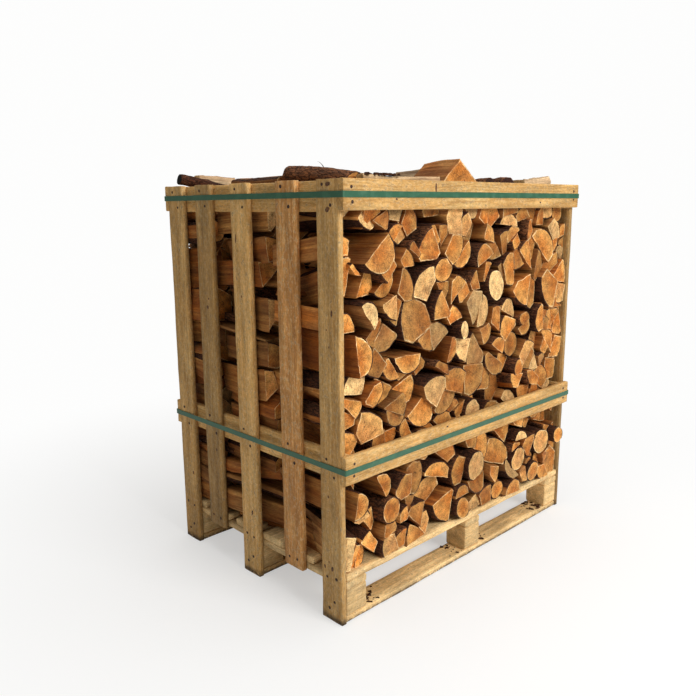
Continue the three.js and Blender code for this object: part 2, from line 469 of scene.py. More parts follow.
class SharedEffects:
    """Builds each effect that several finishes use once, as a shader node group."""

    def __init__(self) -> None:
        """Makes all the groups."""
        self.rings = self._growth_rings()
        self.fibre = self._fibre()
        self.blotch = self._blotch()
        self.saw = self._saw_marks()
        self.grit = self._grit()

    @staticmethod
    def _start(name: str, outputs: Sequence[str], **inputs: object) -> tuple[Nodes, Sockets, Sockets]:
        """Starts a group, whose first input is Grain, the position in the timber.

        Args:
            name: The group's name.
            outputs: Names of its outputs.
            inputs: Names of its other inputs, with their defaults.

        Returns:
            The group's nodes, what it is given and what it puts out.
        """
        tree = bpy.data.node_groups.new(name, "ShaderNodeTree")
        tree.interface.new_socket("Grain", in_out="INPUT", socket_type="NodeSocketVector")
        kinds = {"Colour": "NodeSocketColor"}
        for label, default in inputs.items():
            kind = kinds.get(label, "NodeSocketFloat")
            tree.interface.new_socket(label, in_out="INPUT", socket_type=kind).default_value = default
        for label in outputs:
            kind = kinds.get(label, "NodeSocketFloat")
            tree.interface.new_socket(label, in_out="OUTPUT", socket_type=kind)
        nodes = Nodes(tree)
        return nodes, nodes.add("NodeGroupInput").outputs, nodes.add("NodeGroupOutput").inputs

    def _growth_rings(self) -> Tree:
        """Rings round the heart of the timber, with narrow dark late wood.

        Returns:
            A group with the rings as a mask and the distance from the heart in metres.
        """
        nodes, given, result = self._start(
            "growth_rings", ("Rings", "Radius"), Spacing=0.003, Wander=0.004
        )
        grain = given["Grain"]
        slow = nodes.noise(nodes.scaled(grain, 9.0, 1.6, 9.0), 1.0)
        sway = nodes.times(nodes.minus(slow, 0.5), given["Wander"])
        radius = nodes.vector("LENGTH", nodes.scaled(grain, 1.0, 0.0, 1.0))
        turns = nodes.math("DIVIDE", nodes.math("MULTIPLY_ADD", sway, 2.0, radius), given["Spacing"])
        uneven = nodes.times(nodes.noise(nodes.scaled(grain, 60.0, 0.8, 60.0), 1.0), 1.6)
        phase = nodes.math("FRACT", nodes.math("ADD", turns, uneven))
        late = nodes.span(phase, 0.9, 1.0, (1.0, 0.0))
        nodes.feed(result["Rings"], nodes.times(nodes.span(phase, 0.25, 0.86), late))
        nodes.feed(result["Radius"], radius)
        return nodes.tree

    def _fibre(self) -> Tree:
        """Long fine streaks along the grain.

        Returns:
            A group whose Across and Along inputs are streaks per metre.
        """
        nodes, given, result = self._start("wood_fibre", ("Fibre",), Across=700.0, Along=14.0)
        stretch = nodes.joined(given["Across"], given["Along"], given["Across"])
        stretched = nodes.vector("MULTIPLY", given["Grain"], stretch)
        fine = nodes.times(nodes.noise(stretched, 1.0, 3.0, 0.6), 0.6)
        both = nodes.math("MULTIPLY_ADD", nodes.noise(stretched, 0.17), 0.8, fine)
        nodes.feed(result["Fibre"], nodes.span(both, 0.45, 0.95))
        return nodes.tree

    def _blotch(self) -> Tree:
        """Soft cloudy patches, for stains, dust and changes of tone.

        Returns:
            A group whose Size is the patch size in metres, Level the noise level above which
            there is a patch and Bite how soft its edge is.
        """
        nodes, given, result = self._start(
            "blotches", ("Patches",), Size=0.06, Bite=0.15, Level=0.5
        )
        scale = nodes.add("VectorMath", operation="SCALE")
        nodes.fill(scale, Vector=given["Grain"], Scale=nodes.math("DIVIDE", 1.0, given["Size"]))
        cloud = nodes.noise(scale.outputs[0], 1.0, 4.0, 0.6)
        low = nodes.minus(given["Level"], given["Bite"])
        high = nodes.math("ADD", given["Level"], given["Bite"])
        nodes.feed(result["Patches"], nodes.span(cloud, low, high))
        return nodes.tree

    def _grit(self) -> Tree:
        """Uneven lightness of rough timber, from grains to broad patches.

        Returns:
            A group that multiplies a colour; its Lightness input is 1 for no change.
        """
        nodes, given, result = self._start(
            "uneven_lightness", ("Colour",), Colour=(0.5, 0.5, 0.5, 1.0), Lightness=1.0, Contrast=1.0
        )
        grain = given["Grain"]
        fine = nodes.minus(nodes.noise(nodes.scaled(grain, 1.0, 0.3, 1.0), 260.0, 2.0, 0.7), 0.5)
        broad = nodes.minus(nodes.noise(nodes.scaled(grain, 1.0, 0.15, 1.0), 48.0), 0.5)
        both = nodes.math("MULTIPLY_ADD", fine, 1.15, broad)
        gain = nodes.math("MULTIPLY_ADD", both, given["Contrast"], 1.0)
        gain = nodes.times(gain, given["Lightness"])
        grey = nodes.joined(gain, gain, gain)
        nodes.feed(result["Colour"], nodes.blend(1.0, given["Colour"], grey, "MULTIPLY"))
        return nodes.tree

    def _saw_marks(self) -> Tree:
        """Fine straight ridges that a saw leaves, a little uneven in depth and spacing.

        Returns:
            A group whose Pitch input is the ridge spacing; ridges follow the vector's Y.
        """
        nodes, given, result = self._start("saw_marks", ("Marks",), Pitch=0.003)
        grain = given["Grain"]
        wobble = nodes.noise(nodes.scaled(grain, 14.0, 30.0, 14.0), 1.0)
        place = nodes.math("DIVIDE", nodes.parts(grain)[1], given["Pitch"])
        wave = nodes.math("SINE", nodes.math("MULTIPLY_ADD", wobble, 14.0, place))
        depth = nodes.noise(nodes.scaled(grain, 40.0, 60.0, 40.0), 1.0)
        nodes.feed(result["Marks"], nodes.times(nodes.math("MULTIPLY_ADD", wave, 0.5, 0.5), depth))
        return nodes.tree


class Canvas(Nodes):
    """The nodes of one material, with its Principled shader and what most finishes read.

    Attributes:
        material: The material.
        effects: The shared node groups.
        shader: Its Principled shader.
        grain: Positions in the piece's own timber.
    """

    def __init__(self, name: str, effects: SharedEffects) -> None:
        """Starts a material.

        Args:
            name: The material's name.
            effects: The shared node groups.
        """
        self.material = bpy.data.materials.new(name)
        self.material.use_nodes = True
        super().__init__(self.material.node_tree)
        self.effects = effects
        self.shader = self.add("BsdfPrincipled")
        self.feed(self.add("OutputMaterial").inputs["Surface"], self.shader.outputs["BSDF"])
        self.grain = self.layer("grain").outputs["Vector"]

    def layer(self, label: str) -> Node:
        """An Attribute node that reads one of the mesh's own layers."""
        return self.add("Attribute", attribute_name=label)

    @cached_property
    def tone(self) -> tuple[Socket, Socket, Socket]:
        """The piece's lightness, its warmth or dirt, and the distance from heart to bark."""
        return self.parts(self.layer("tone").outputs["Vector"])

    def rings(self, spacing: float, wander: float) -> tuple[Socket, Socket]:
        """Growth rings as a mask, and the distance from the heart."""
        node = self.group(self.effects.rings, Grain=self.grain, Spacing=spacing, Wander=wander)
        return node.outputs["Rings"], node.outputs["Radius"]

    def fibres(self, across: float, along: float) -> Socket:
        """A mask of streaks, given how many there are in a metre across and along the grain."""
        return self.group(self.effects.fibre, Grain=self.grain, Across=across, Along=along).outputs[0]

    def patches(
        self, size: float, level: float = 0.5, bite: float = 0.15, grain: Socket | None = None
    ) -> Socket:
        """A mask of patches with a size in metres; a low level gives many, a high bite soft ones."""
        where = self.grain if grain is None else grain
        return self.group(self.effects.blotch, Grain=where, Size=size, Level=level, Bite=bite).outputs[0]

    def coat(self, colour: object, *coats: tuple[Socket, float, Colour]) -> Socket:
        """Lays further colours over one.

        Args:
            colour: The colour underneath.
            coats: For each coat its mask, how well it covers and its colour.

        Returns:
            The mixed colour.
        """
        for mask, cover, tint in coats:
            colour = self.blend(self.times(mask, cover), colour, tint)
        return colour

    def uneven(self, colour: Socket, gain: float, base: float, contrast: float) -> Socket:
        """Gives a colour the piece's lightness and the unevenness of rough timber.

        Args:
            colour: The colour.
            gain: How much the piece's lightness counts.
            base: Lightness of a piece whose own is 0.
            contrast: How uneven it is.

        Returns:
            The new colour.
        """
        light = self.math("MULTIPLY_ADD", self.tone[0], gain, base)
        node = self.group(self.effects.grit, Grain=self.grain, Colour=colour, Lightness=light)
        return self.fill(node, Contrast=contrast).outputs[0]

    def cover(self, colour: Socket, mask: Socket, roughness: Pair, specular: float = 0.5) -> None:
        """Sets the shader's colour and shine; roughness is given where the mask is 0 and 1."""
        self.fill(self.shader, Base_Color=colour, Roughness=self.span(mask, 0.0, 1.0, roughness))
        self.shader.inputs["Specular IOR Level"].default_value = specular

    def relief(self, height: Socket, depth: float, strength: float) -> None:
        """Feeds a height from 0 to 1, with 1 so many metres deep, into the shader's normal."""
        bump = self.fill(self.add("Bump"), Height=height, Distance=depth, Strength=strength)
        self.feed(self.shader.inputs["Normal"], bump.outputs["Normal"])


class Finish(ABC):
    """A named look that turns into one material.

    Attributes:
        name: The material's name.
    """

    name: str

    @abstractmethod
    def _paint(self, nodes: Canvas) -> None:
        """Mixes the look's colour and relief, given its material's nodes."""

    def material(self, effects: SharedEffects) -> Material:
        """Builds the finish's material.

        Args:
            effects: The shared node groups.

        Returns:
            The finished material.
        """
        nodes = Canvas(self.name, effects)
        self._paint(nodes)
        return nodes.material


@dataclass(frozen=True)
class SawnPine(Finish):
    """Rough-sawn softwood boards.

    Attributes:
        name: The material's name.
        early: Colour of the wide pale part of each growth ring.
        late: Colour of the narrow dark part.
        stain: Colour of weathered patches.
        stain_level: Noise level above which a patch is stained; lower means more of them.
        ring_spacing: Distance between growth rings.
    """

    name: str
    early: Colour
    late: Colour
    stain: Colour
    stain_level: float = 0.56
    ring_spacing: float = 4.2 * MM

    def _paint(self, nodes: Canvas) -> None:
        """Mixes colour and relief of sawn boards.

        Args:
            nodes: The material's nodes.
        """
        rings, _ = nodes.rings(self.ring_spacing, 0.02)
        fibre = nodes.fibres(620.0, 9.0)
        longwise = nodes.scaled(nodes.grain, 1.0, 0.55, 1.0)
        fuzz_and_highlight = nodes.patches(0.007, 0.58, 0.09, longwise)
        marks = nodes.group(nodes.effects.saw, Grain=nodes.grain, Pitch=0.0011).outputs[0]
        dirty = nodes.math("MULTIPLY", nodes.tone[1], 1.6, clamp=True)
        stained = nodes.scaled(nodes.grain, 1.0, 0.3, 1.0)
        colour = nodes.coat(
            self.early,
            (rings, 0.55, self.late),
            (nodes.minus(1.0, fibre), 0.55, self.late),
            (nodes.patches(0.05, self.stain_level, grain=stained), 0.55, self.stain),
            # Pale sawn fuzz, partly a painted highlight on the raised fibres.
            (fuzz_and_highlight, 0.45, linear(250, 226, 176)),
            (nodes.patches(0.007, 0.63, 0.05, longwise), 0.6, linear(96, 68, 38)),
            (self._knots(nodes), 0.8, linear(96, 58, 30)),
            (marks, 0.12, linear(134, 98, 54)),
            (nodes.patches(0.16, 0.5, 0.2, longwise), 0.35, self.late),
            (nodes.times(dirty, nodes.patches(0.012, 0.42, 0.12)), 0.85, linear(44, 34, 24)),
        )
        nodes.cover(nodes.uneven(colour, 0.3, 0.82, 1.0), fibre, (0.78, 0.62), 0.3)
        height = nodes.math("MULTIPLY_ADD", marks, 0.3, nodes.times(fibre, 0.7))
        height = nodes.minus(height, nodes.times(rings, 0.25))
        nodes.relief(nodes.math("MULTIPLY_ADD", fuzz_and_highlight, 0.7, height), 0.9 * MM, 0.8)

    @staticmethod
    def _knots(nodes: Canvas) -> Socket:
        """A few knots, stretched along the board.

        Args:
            nodes: The material's nodes.

        Returns:
            A mask that is 1 on a knot.
        """
        cells = nodes.cells(nodes.scaled(nodes.grain, 9.0, 3.6, 9.0), "F1")
        pick = nodes.add("SeparateColor")
        nodes.feed(pick.inputs[0], cells.outputs["Color"])
        wood = nodes.span(cells.outputs["Distance"], 0.05, 0.13, (1.0, 0.0))
        return nodes.times(wood, nodes.math("GREATER_THAN", pick.outputs[0], 0.8))


@dataclass(frozen=True)
class EndGrain(Finish):
    """The cut end of a log: heart, growth rings, rays, saw marks and a rim of bark.

    Attributes:
        name: The material's name.
        heart: Colour near the heart.
        sap: Colour near the bark.
        deep: Colour of the deep orange patches that fresh hardwood gets.
        pale: Colour of dry, pale logs.
        rim: Colour of the torn pale fibres along the outline, and of the painted highlight on that edge.
        bark: Colour of the bark's cut edge.
        bark_thickness: How thick the bark is.
    """

    name: str = "end_grain"
    heart: Colour = linear(196, 118, 42)
    sap: Colour = linear(222, 162, 84)
    deep: Colour = linear(182, 94, 14)
    pale: Colour = linear(234, 203, 142)
    rim: Colour = linear(246, 214, 158)
    bark: Colour = linear(54, 26, 14)
    bark_thickness: float = 4.0 * MM

    def _paint(self, nodes: Canvas) -> None:
        """Mixes colour and relief of log ends.

        Args:
            nodes: The material's nodes.
        """
        _, warmth, reach = nodes.tone
        rings, radius = nodes.rings(2.6 * MM, 0.006)
        share = nodes.math("DIVIDE", radius, reach)
        warm_spots = nodes.patches(0.045, 0.5, 0.12)
        warm = nodes.times(warm_spots, nodes.span(warmth, 0.25, 1.0))
        rays = self._rays(nodes)
        crack = self._cracks(nodes, share)
        cut = self._bark_edge(nodes, radius, reach)
        colour = nodes.coat(
            nodes.blend(nodes.span(share, 0.25, 0.95), self.heart, self.sap),
            (warm, 0.85, self.deep),
            (nodes.span(warmth, -0.1, 0.24, (1.0, 0.0)), 0.85, self.pale),
            (rings, 0.5, linear(150, 88, 36)),
            (rays, 0.4, linear(240, 192, 120)),
            (nodes.patches(0.016, 0.54, 0.12), 0.3, linear(176, 104, 42)),
            (nodes.patches(0.006, 0.63, 0.05), 0.65, linear(104, 50, 16)),
            (crack, 0.6, linear(84, 44, 18)),
            # Pale rim: partly torn fibres, partly a painted highlight along the edge of each cut end.
            (self._torn_rim_and_highlight(nodes), 1.0, self.rim),
            (cut, 1.0, self.bark),
        )
        nodes.cover(nodes.uneven(colour, 0.52, 0.52, 1.6), warm_spots, (0.8, 0.66), 0.25)
        sawn = nodes.vector("CROSS_PRODUCT", nodes.grain, (0.35, 1.0, 0.6))
        marks = nodes.group(nodes.effects.saw, Grain=sawn, Pitch=0.0006).outputs[0]
        height = nodes.math("MULTIPLY_ADD", marks, 0.7, nodes.times(rays, 0.4))
        height = nodes.minus(height, nodes.times(cut, 0.6))
        nodes.relief(nodes.minus(height, nodes.times(crack, 1.5)), 0.7 * MM, 0.6)

    @staticmethod
    def _rays(nodes: Canvas) -> Socket:
        """Streaks that run out from the heart.

        Args:
            nodes: The material's nodes.

        Returns:
            A mask that is 1 on a ray.
        """
        outward = nodes.vector("NORMALIZE", nodes.scaled(nodes.grain, 1.0, 0.0, 1.0))
        along = nodes.scaled(nodes.grain, 14.0, 1.0, 14.0)
        spread = nodes.vector("ADD", nodes.scaled(outward, 34.0, 0.0, 34.0), along)
        return nodes.span(nodes.noise(spread, 1.0, 2.0, 0.6), 0.52, 0.74)

    @staticmethod
    def _cracks(nodes: Canvas, share: Socket) -> Socket:
        """Thin drying cracks that run out from the heart of some logs.

        Args:
            nodes: The material's nodes.
            share: Distance from the heart as a share of the stem's radius.

        Returns:
            A mask that is 1 in a crack.
        """
        grain = nodes.grain
        outward = nodes.vector("NORMALIZE", nodes.scaled(grain, 1.0, 0.0, 1.0))
        sway = nodes.vector("ADD", nodes.scaled(outward, 2.6, 0.0, 2.6), nodes.scaled(grain, 7.0, 0.4, 7.0))
        ridge = nodes.math("ABSOLUTE", nodes.minus(nodes.noise(sway, 1.0, 1.0), 0.5))
        width = nodes.math("MULTIPLY_ADD", nodes.math("SUBTRACT", 0.8, share, clamp=True), 0.02, 0.001)
        some = nodes.span(nodes.noise(nodes.scaled(grain, 0.0, 3.1, 0.0), 1.0, 0.0), 0.52, 0.56)
        line = nodes.times(nodes.math("LESS_THAN", ridge, width), some)
        return nodes.times(line, nodes.math("LESS_THAN", share, 0.78))

    @staticmethod
    def _torn_rim_and_highlight(nodes: Canvas) -> Socket:
        """Pale fibres along parts of the outline, partly a painted highlight on the edge.

        Args:
            nodes: The material's nodes.

        Returns:
            A mask that is 1 on the fibres and the painted highlight.
        """
        edge = nodes.layer("edge").outputs["Fac"]
        line = nodes.math("MULTIPLY_ADD", nodes.noise(nodes.grain, 330.0), 0.05, edge)
        broken = nodes.span(nodes.noise(nodes.grain, 45.0), 0.4, 0.58, (0.2, 0.8))
        return nodes.times(nodes.span(line, 0.935, 0.985), broken)

    def _bark_edge(self, nodes: Canvas, radius: Socket, reach: Socket) -> Socket:
        """The bark's cut edge.

        Args:
            nodes: The material's nodes.
            radius: Distance from the heart.
            reach: Distance from the heart to the bark's outside.

        Returns:
            A mask that is 1 on the bark.
        """
        uneven = nodes.times(nodes.noise(nodes.grain, 110.0), 2.6 * MM)
        depth = nodes.minus(reach, nodes.math("ADD", radius, uneven))
        return nodes.span(depth, self.bark_thickness - 2.2 * MM, self.bark_thickness - 1.2 * MM, (1.0, 0.0))


@dataclass(frozen=True)
class SplitWood(Finish):
    """The torn, fibrous side of a split log.

    Attributes:
        name: The material's name.
        pale: Colour of fresh fibres.
        warm: Colour of the warmer wood.
        dark: Colour of the darker fibre streaks, and painted shade in the hollows between fibres.
        fresh: Colour of dry, pale logs.
    """

    name: str = "split_wood"
    pale: Colour = linear(216, 160, 88)
    warm: Colour = linear(186, 106, 34)
    dark: Colour = linear(100, 48, 16)
    fresh: Colour = linear(244, 218, 174)

    def _paint(self, nodes: Canvas) -> None:
        """Mixes colour and relief of split sides.

        Args:
            nodes: The material's nodes.
        """
        _, warmth, _ = nodes.tone
        fibre = nodes.fibres(420.0, 11.0)
        coarse = nodes.fibres(130.0, 5.0)
        spots = nodes.times(nodes.patches(0.05, 0.5, 0.14, nodes.scaled(nodes.grain, 1.0, 0.4, 1.0)), 0.5)
        warm = nodes.math("MULTIPLY_ADD", warmth, 0.7, spots, clamp=True)
        colour = nodes.coat(
            nodes.blend(warm, self.pale, self.warm),
            (nodes.span(warmth, -0.9, 0.1, (1.0, 0.0)), 0.9, self.fresh),
            # Darker where the fibres sit low: partly darker streaks, partly painted shade in the hollows.
            (nodes.minus(1.0, fibre), 0.75, self.dark),
            (nodes.minus(1.0, coarse), 0.6, self.dark),
        )
        nodes.cover(nodes.uneven(colour, 0.5, 0.6, 0.9), fibre, (0.85, 0.7), 0.25)
        height = nodes.math("MULTIPLY_ADD", fibre, 0.5, nodes.times(coarse, 0.8))
        nodes.relief(height, 2.6 * MM, 0.9)


@dataclass(frozen=True)
class Bark(Finish):
    """Rough brown bark with long dark cracks and lighter flakes.

    Attributes:
        name: The material's name.
        ground: Main colour.
        red: Main colour of the redder stems.
        crack: Colour in the cracks.
        flake: Colour of the lighter flakes.
    """

    name: str = "bark"
    ground: Colour = linear(84, 46, 26)
    red: Colour = linear(154, 98, 60)
    crack: Colour = linear(28, 12, 6)
    flake: Colour = linear(136, 90, 56)

    def _paint(self, nodes: Canvas) -> None:
        """Mixes colour and relief of bark.

        Args:
            nodes: The material's nodes.
        """
        crack = self._plates(nodes)
        flakes = nodes.patches(0.009, 0.56, 0.1, nodes.scaled(nodes.grain, 1.0, 0.45, 1.0))
        ridges = nodes.fibres(210.0, 26.0)
        colour = nodes.coat(
            nodes.blend(nodes.span(nodes.tone[1], 0.45, 0.95), self.ground, self.red),
            (flakes, 0.55, self.flake),
            (nodes.patches(0.04, 0.5, 0.2), 0.5, linear(52, 31, 22)),
            (nodes.minus(1.0, ridges), 0.55, linear(46, 28, 19)),
            (crack, 0.8, self.crack),
        )
        nodes.cover(colour, flakes, (0.95, 0.8), 0.2)
        raised = nodes.math("MULTIPLY_ADD", ridges, 0.7, nodes.times(flakes, 0.5))
        nodes.relief(nodes.minus(raised, nodes.times(crack, 0.9)), 2.4 * MM, 0.9)

    @staticmethod
    def _plates(nodes: Canvas) -> Socket:
        """Crooked cracks between long plates of bark.

        Args:
            nodes: The material's nodes.

        Returns:
            A mask that is 1 in a crack.
        """
        drift = nodes.fill(nodes.add("TexNoise"), Vector=nodes.grain, Scale=70.0, Detail=3.0)
        bent = nodes.scaled(drift.outputs["Color"], 1.6, 1.6, 1.6)
        cells = nodes.cells(
            nodes.vector("ADD", nodes.scaled(nodes.grain, 130.0, 30.0, 130.0), bent), "DISTANCE_TO_EDGE"
        )
        return nodes.span(cells.outputs["Distance"], 0.0, 0.16, (1.0, 0.0))


@dataclass(frozen=True)
class StrapPlastic(Finish):
    """Green plastic strapping with a fine embossed pattern and scuffs.

    Attributes:
        name: The material's name.
        green: Main colour.
        scuff: Colour where it is rubbed.
        emboss_pitch: Waves of the embossed pattern in a metre, times two pi.
    """

    name: str = "strap_plastic"
    green: Colour = linear(40, 90, 64)
    scuff: Colour = linear(78, 124, 96)
    emboss_pitch: float = 2600.0

    def _paint(self, nodes: Canvas) -> None:
        """Mixes colour and relief of the strap.

        Args:
            nodes: The material's nodes.
        """
        across, along, _ = nodes.parts(nodes.grain)
        waves = [
            nodes.math("SINE", nodes.times(nodes.math(how, along, across), self.emboss_pitch))
            for how in ("ADD", "SUBTRACT")
        ]
        emboss = nodes.math("MULTIPLY_ADD", nodes.times(*waves), 0.5, 0.5)
        rubbed = nodes.patches(0.03, 0.56, 0.1)
        colour = nodes.coat(self.green, (rubbed, 0.4, self.scuff), (emboss, 0.15, linear(30, 76, 58)))
        nodes.cover(colour, rubbed, (0.38, 0.55))
        nodes.relief(emboss, 0.15 * MM, 0.6)


@dataclass(frozen=True)
class NailSteel(Finish):
    """Dull nail steel with a little rust.

    Attributes:
        name: The material's name.
        steel: Colour of the bare head.
        rust: Colour of the rusty spots.
    """

    name: str = "nail_steel"
    steel: Colour = linear(70, 62, 56)
    rust: Colour = linear(60, 32, 18)

    def _paint(self, nodes: Canvas) -> None:
        """Mixes the colour of nail heads.

        Args:
            nodes: The material's nodes.
        """
        rust = nodes.patches(0.003, 0.45, 0.12)
        nodes.cover(nodes.blend(rust, self.steel, self.rust), rust, (0.45, 0.9))
        nodes.feed(nodes.shader.inputs["Metallic"], nodes.span(rust, 0.0, 1.0, (0.7, 0.0)))


@dataclass(frozen=True)
class KnotWood(Finish):
    """The dark hard wood of a knot.

    Attributes:
        name: The material's name.
        core: Colour of most of it.
        ring: Colour of its lighter rings.
    """

    name: str = "knot_wood"
    core: Colour = linear(52, 28, 14)
    ring: Colour = linear(120, 78, 42)

    def _paint(self, nodes: Canvas) -> None:
        """Mixes colour and relief of knots.

        Args:
            nodes: The material's nodes.
        """
        spots = nodes.patches(0.004, 0.5, 0.12)
        nodes.cover(nodes.blend(spots, self.core, self.ring), spots, (0.6, 0.8))
        nodes.relief(spots, 0.4 * MM, 0.7)


class Palette:
    """Every material of the crate, built once."""

    def __init__(self) -> None:
        """Builds the shared effects and then each finish."""
        effects = SharedEffects()
        pale = SawnPine("sawn_pine", linear(226, 186, 120), linear(184, 132, 66), linear(160, 124, 70))
        red = SawnPine("red_pine", linear(212, 160, 94), linear(166, 106, 52), linear(150, 100, 54), 0.62)
        base = SawnPine("base_pine", linear(242, 212, 156), linear(198, 156, 98), linear(158, 130, 88), 0.5)
        self.pale_board, self.red_board, self.base_board = (
            board.material(effects) for board in (pale, red, base)
        )
        self.end_grain = EndGrain().material(effects)
        self.split_wood = SplitWood().material(effects)
        self.bark = Bark().material(effects)
        self.strap = StrapPlastic().material(effects)
        self.nail = NailSteel().material(effects)
        self.knot = KnotWood().material(effects)

    @property
    def log(self) -> list[Material]:
        """The materials of a log in the order of LogFace."""
        return [self.end_grain, self.split_wood, self.bark]


# -------------------- Sawn boards --------------------


@dataclass
class SawnBoard:
    """One sawn board with worn edges and ragged ends, made to fill its CAD box.

    Attributes:
        node: Name of the CAD node it stands for.
        slot: Name of its material slot.
        material: Its finish.
        seed: Picks its grain, wear and tone.
        lightness: How light its wood is; 0.5 is usual.
        bow: How far its middle stands out sideways.
        edge_wear: Typical width of the worn edges.
        foot_shade: How much its lightness falls from shade_top down to the floor.
        shade_top: Height above the floor where that shade ends.
        dirt_height: Height above the floor up to which it is dirty.
        steps: Distance between vertices across, along and through it.
        ragged: How far the saw cut at an end wanders.
        dip: Typical depth of the waves in its faces.
        heart_side: How far beside its middle the tree's heart may lie, in board widths.
        heart_depth: How far under or over its middle the heart lies, at least and at most.
    """

    node: str
    slot: str
    material: Material
    seed: int
    lightness: float
    bow: float
    edge_wear: float
    foot_shade: float
    shade_top: float = 0.7
    dirt_height: float = 15 * MM
    steps: Place = (11 * MM, 22 * MM, 9 * MM)
    ragged: float = 1.6 * MM
    dip: float = 0.2 * MM
    heart_side: float = 0.6
    heart_depth: Pair = (0.02, 0.07)

    def build(self) -> None:
        """Builds the board."""
        low, high = (np.array(corner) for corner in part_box(self.node))
        wide, long, thin = self._axes(high - low)
        half = (high - low)[[wide, long, thin]] / 2
        outline = self._outline(half[0], half[2])
        stations = self._stations(half[1])
        local = self._rings(outline, stations)
        self._wear(local, half)
        to_frame = np.zeros((3, 3))
        to_frame[0, wide] = to_frame[1, long] = to_frame[2, thin] = 1
        if np.linalg.det(to_frame) < 0:
            local[:, 0] *= -1
        random = np.random.default_rng(self.seed)
        aside = random.uniform(-self.heart_side, self.heart_side) * half[0] * 2
        depth = random.uniform(*self.heart_depth)
        shift = (aside, random.uniform(0, 50), depth * random.choice((-1, 1)))
        surface = Surface()
        placed = local @ to_frame + (low + high) / 2
        first = surface.add_points(placed, local + shift, self._tone(placed))
        ends = np.array([[0, -half[1] + self.ragged / 2, 0], [0, half[1] - self.ragged / 2, 0]])
        middles = ends @ to_frame + (low + high) / 2
        middle = surface.add_points(middles, ends + shift, self._tone(middles), 0.0)
        surface.add_tube(first, len(stations), [0] * len(outline), 0, middle)
        fasten(surface.to_object(f"{self.node}_timber", self.material), self.slot, self.node)

    @staticmethod
    def _axes(size: Array) -> tuple[int, int, int]:
        """Finds how the board lies; a block's grain runs along X.

        Args:
            size: Its size along X, Y and Z.

        Returns:
            The axes across, along and through it.
        """
        if size.max() - size.min() < 2 * MM:
            return 1, 0, 2
        thin, wide, long = (int(axis) for axis in np.argsort(size))
        return wide, long, thin

    def _tone(self, placed: Array) -> Array:
        """Shades the board, darkest and dirtiest at the floor.

        Args:
            placed: Vertices in the crate's frame.

        Returns:
            Lightness, dirt and 1 for each vertex.
        """
        height = placed[:, 2]
        light = self.lightness - self.foot_shade * np.clip(1 - height / self.shade_top, 0, 1)
        dirt = np.clip(1 - height / self.dirt_height, 0, 1)
        return np.column_stack([light, dirt, np.ones(len(placed))])

    @staticmethod
    def _places(half: float, step: float, least: int = 1) -> list[float]:
        """Places from -half to half, about a step apart and with at least so many steps."""
        count = max(least, round(2 * half / step))
        return [-half + 2 * half * k / count for k in range(count + 1)]

    def _outline(self, half_wide: float, half_thin: float) -> Array:
        """The board's outline across its length, counter-clockwise seen from its first end.

        Args:
            half_wide: Half the board's width.
            half_thin: Half its thickness.

        Returns:
            Outline points.
        """
        wides = self._places(half_wide - self.edge_wear, self.steps[0])
        thins = self._places(half_thin - self.edge_wear, self.steps[2])
        points = [(x, -half_thin) for x in wides]
        points += [(half_wide, z) for z in thins]
        points += [(x, half_thin) for x in reversed(wides)]
        points += [(-half_wide, z) for z in reversed(thins)]
        return np.array(points)

    def _stations(self, half: float) -> list[Pair]:
        """Places along the board with how far the outline steps in there, for worn ends.

        Args:
            half: Half the board's length.

        Returns:
            Place and inset of each ring.
        """
        wear = 0.8 * self.edge_wear
        places = self._places(half - wear, self.steps[1], 2)
        return [(-half, wear)] + [(place, 0.0) for place in places] + [(half, wear)]

    @staticmethod
    def _rings(outline: Array, stations: Sequence[Pair]) -> Array:
        """Repeats the outline at every station.

        Args:
            outline: Outline points.
            stations: Place and inset of each ring.

        Returns:
            Vertices: across, along, through.
        """
        rings = []
        for place, inset in stations:
            flat = outline - np.sign(outline) * inset
            rings.append(np.column_stack([flat[:, 0], np.full(len(flat), place), flat[:, 1]]))
        return np.concatenate(rings)

    def _wear(self, points: Array, half: Array) -> None:
        """Wears the edges, waves the faces, bows the board and roughens its ends.

        Args:
            points: The vertices, which are moved.
            half: Half the board's size across, along and through.
        """
        noise = Noise(self.seed)
        gap = half[[0, 2]] - np.abs(points[:, (0, 2)])
        near = np.clip(1 - gap.sum(axis=1) / (4 * self.edge_wear), 0, 1)
        near *= gap.min(axis=1) < self.edge_wear
        wear = near * (0.5 + 0.5 * noise.fractal(points * (30, 14, 30) + self.seed, 3))
        points[:, 0] -= np.sign(points[:, 0]) * wear * self.edge_wear
        points[:, 2] -= np.sign(points[:, 2]) * wear * self.edge_wear
        dip = self.dip * (1 + noise.fractal(points * (60, 24, 60) + 31.7, 2))
        points[:, 2] -= np.sign(points[:, 2]) * dip
        cut = 0.5 + 0.5 * noise.fractal(points * (26, 0, 60) + np.sign(points[:, 1:2]) * 7.7, 2)
        at_end = np.abs(points[:, 1]) > half[1] - 2 * self.edge_wear
        points[:, 1] -= np.sign(points[:, 1]) * np.clip(cut, 0, 1) * self.ragged * at_end
        points[:, 0] += self.bow * (1 - (points[:, 1] / half[1]) ** 2)


class Timber(Enum):
    """The kinds of timber, each with the name of its material slot."""

    SLAT = "slat_wood"
    BASE = "base_wood"
    RED = "red_slat_wood"

    @classmethod
    def of(cls, node: str, red_slat: str) -> "Timber | None":
        """Tells what timber a node is.

        Args:
            node: The CAD node's name.
            red_slat: Name of the one slat of redder wood.

        Returns:
            Its kind, or None for logs and straps.
        """
        if node == red_slat:
            return cls.RED
        if node.startswith(("runner", "block", "cross_board", "deck_board")):
            return cls.BASE
        return cls.SLAT if "_slat_" in node or node.endswith(("_rail", "_board")) else None


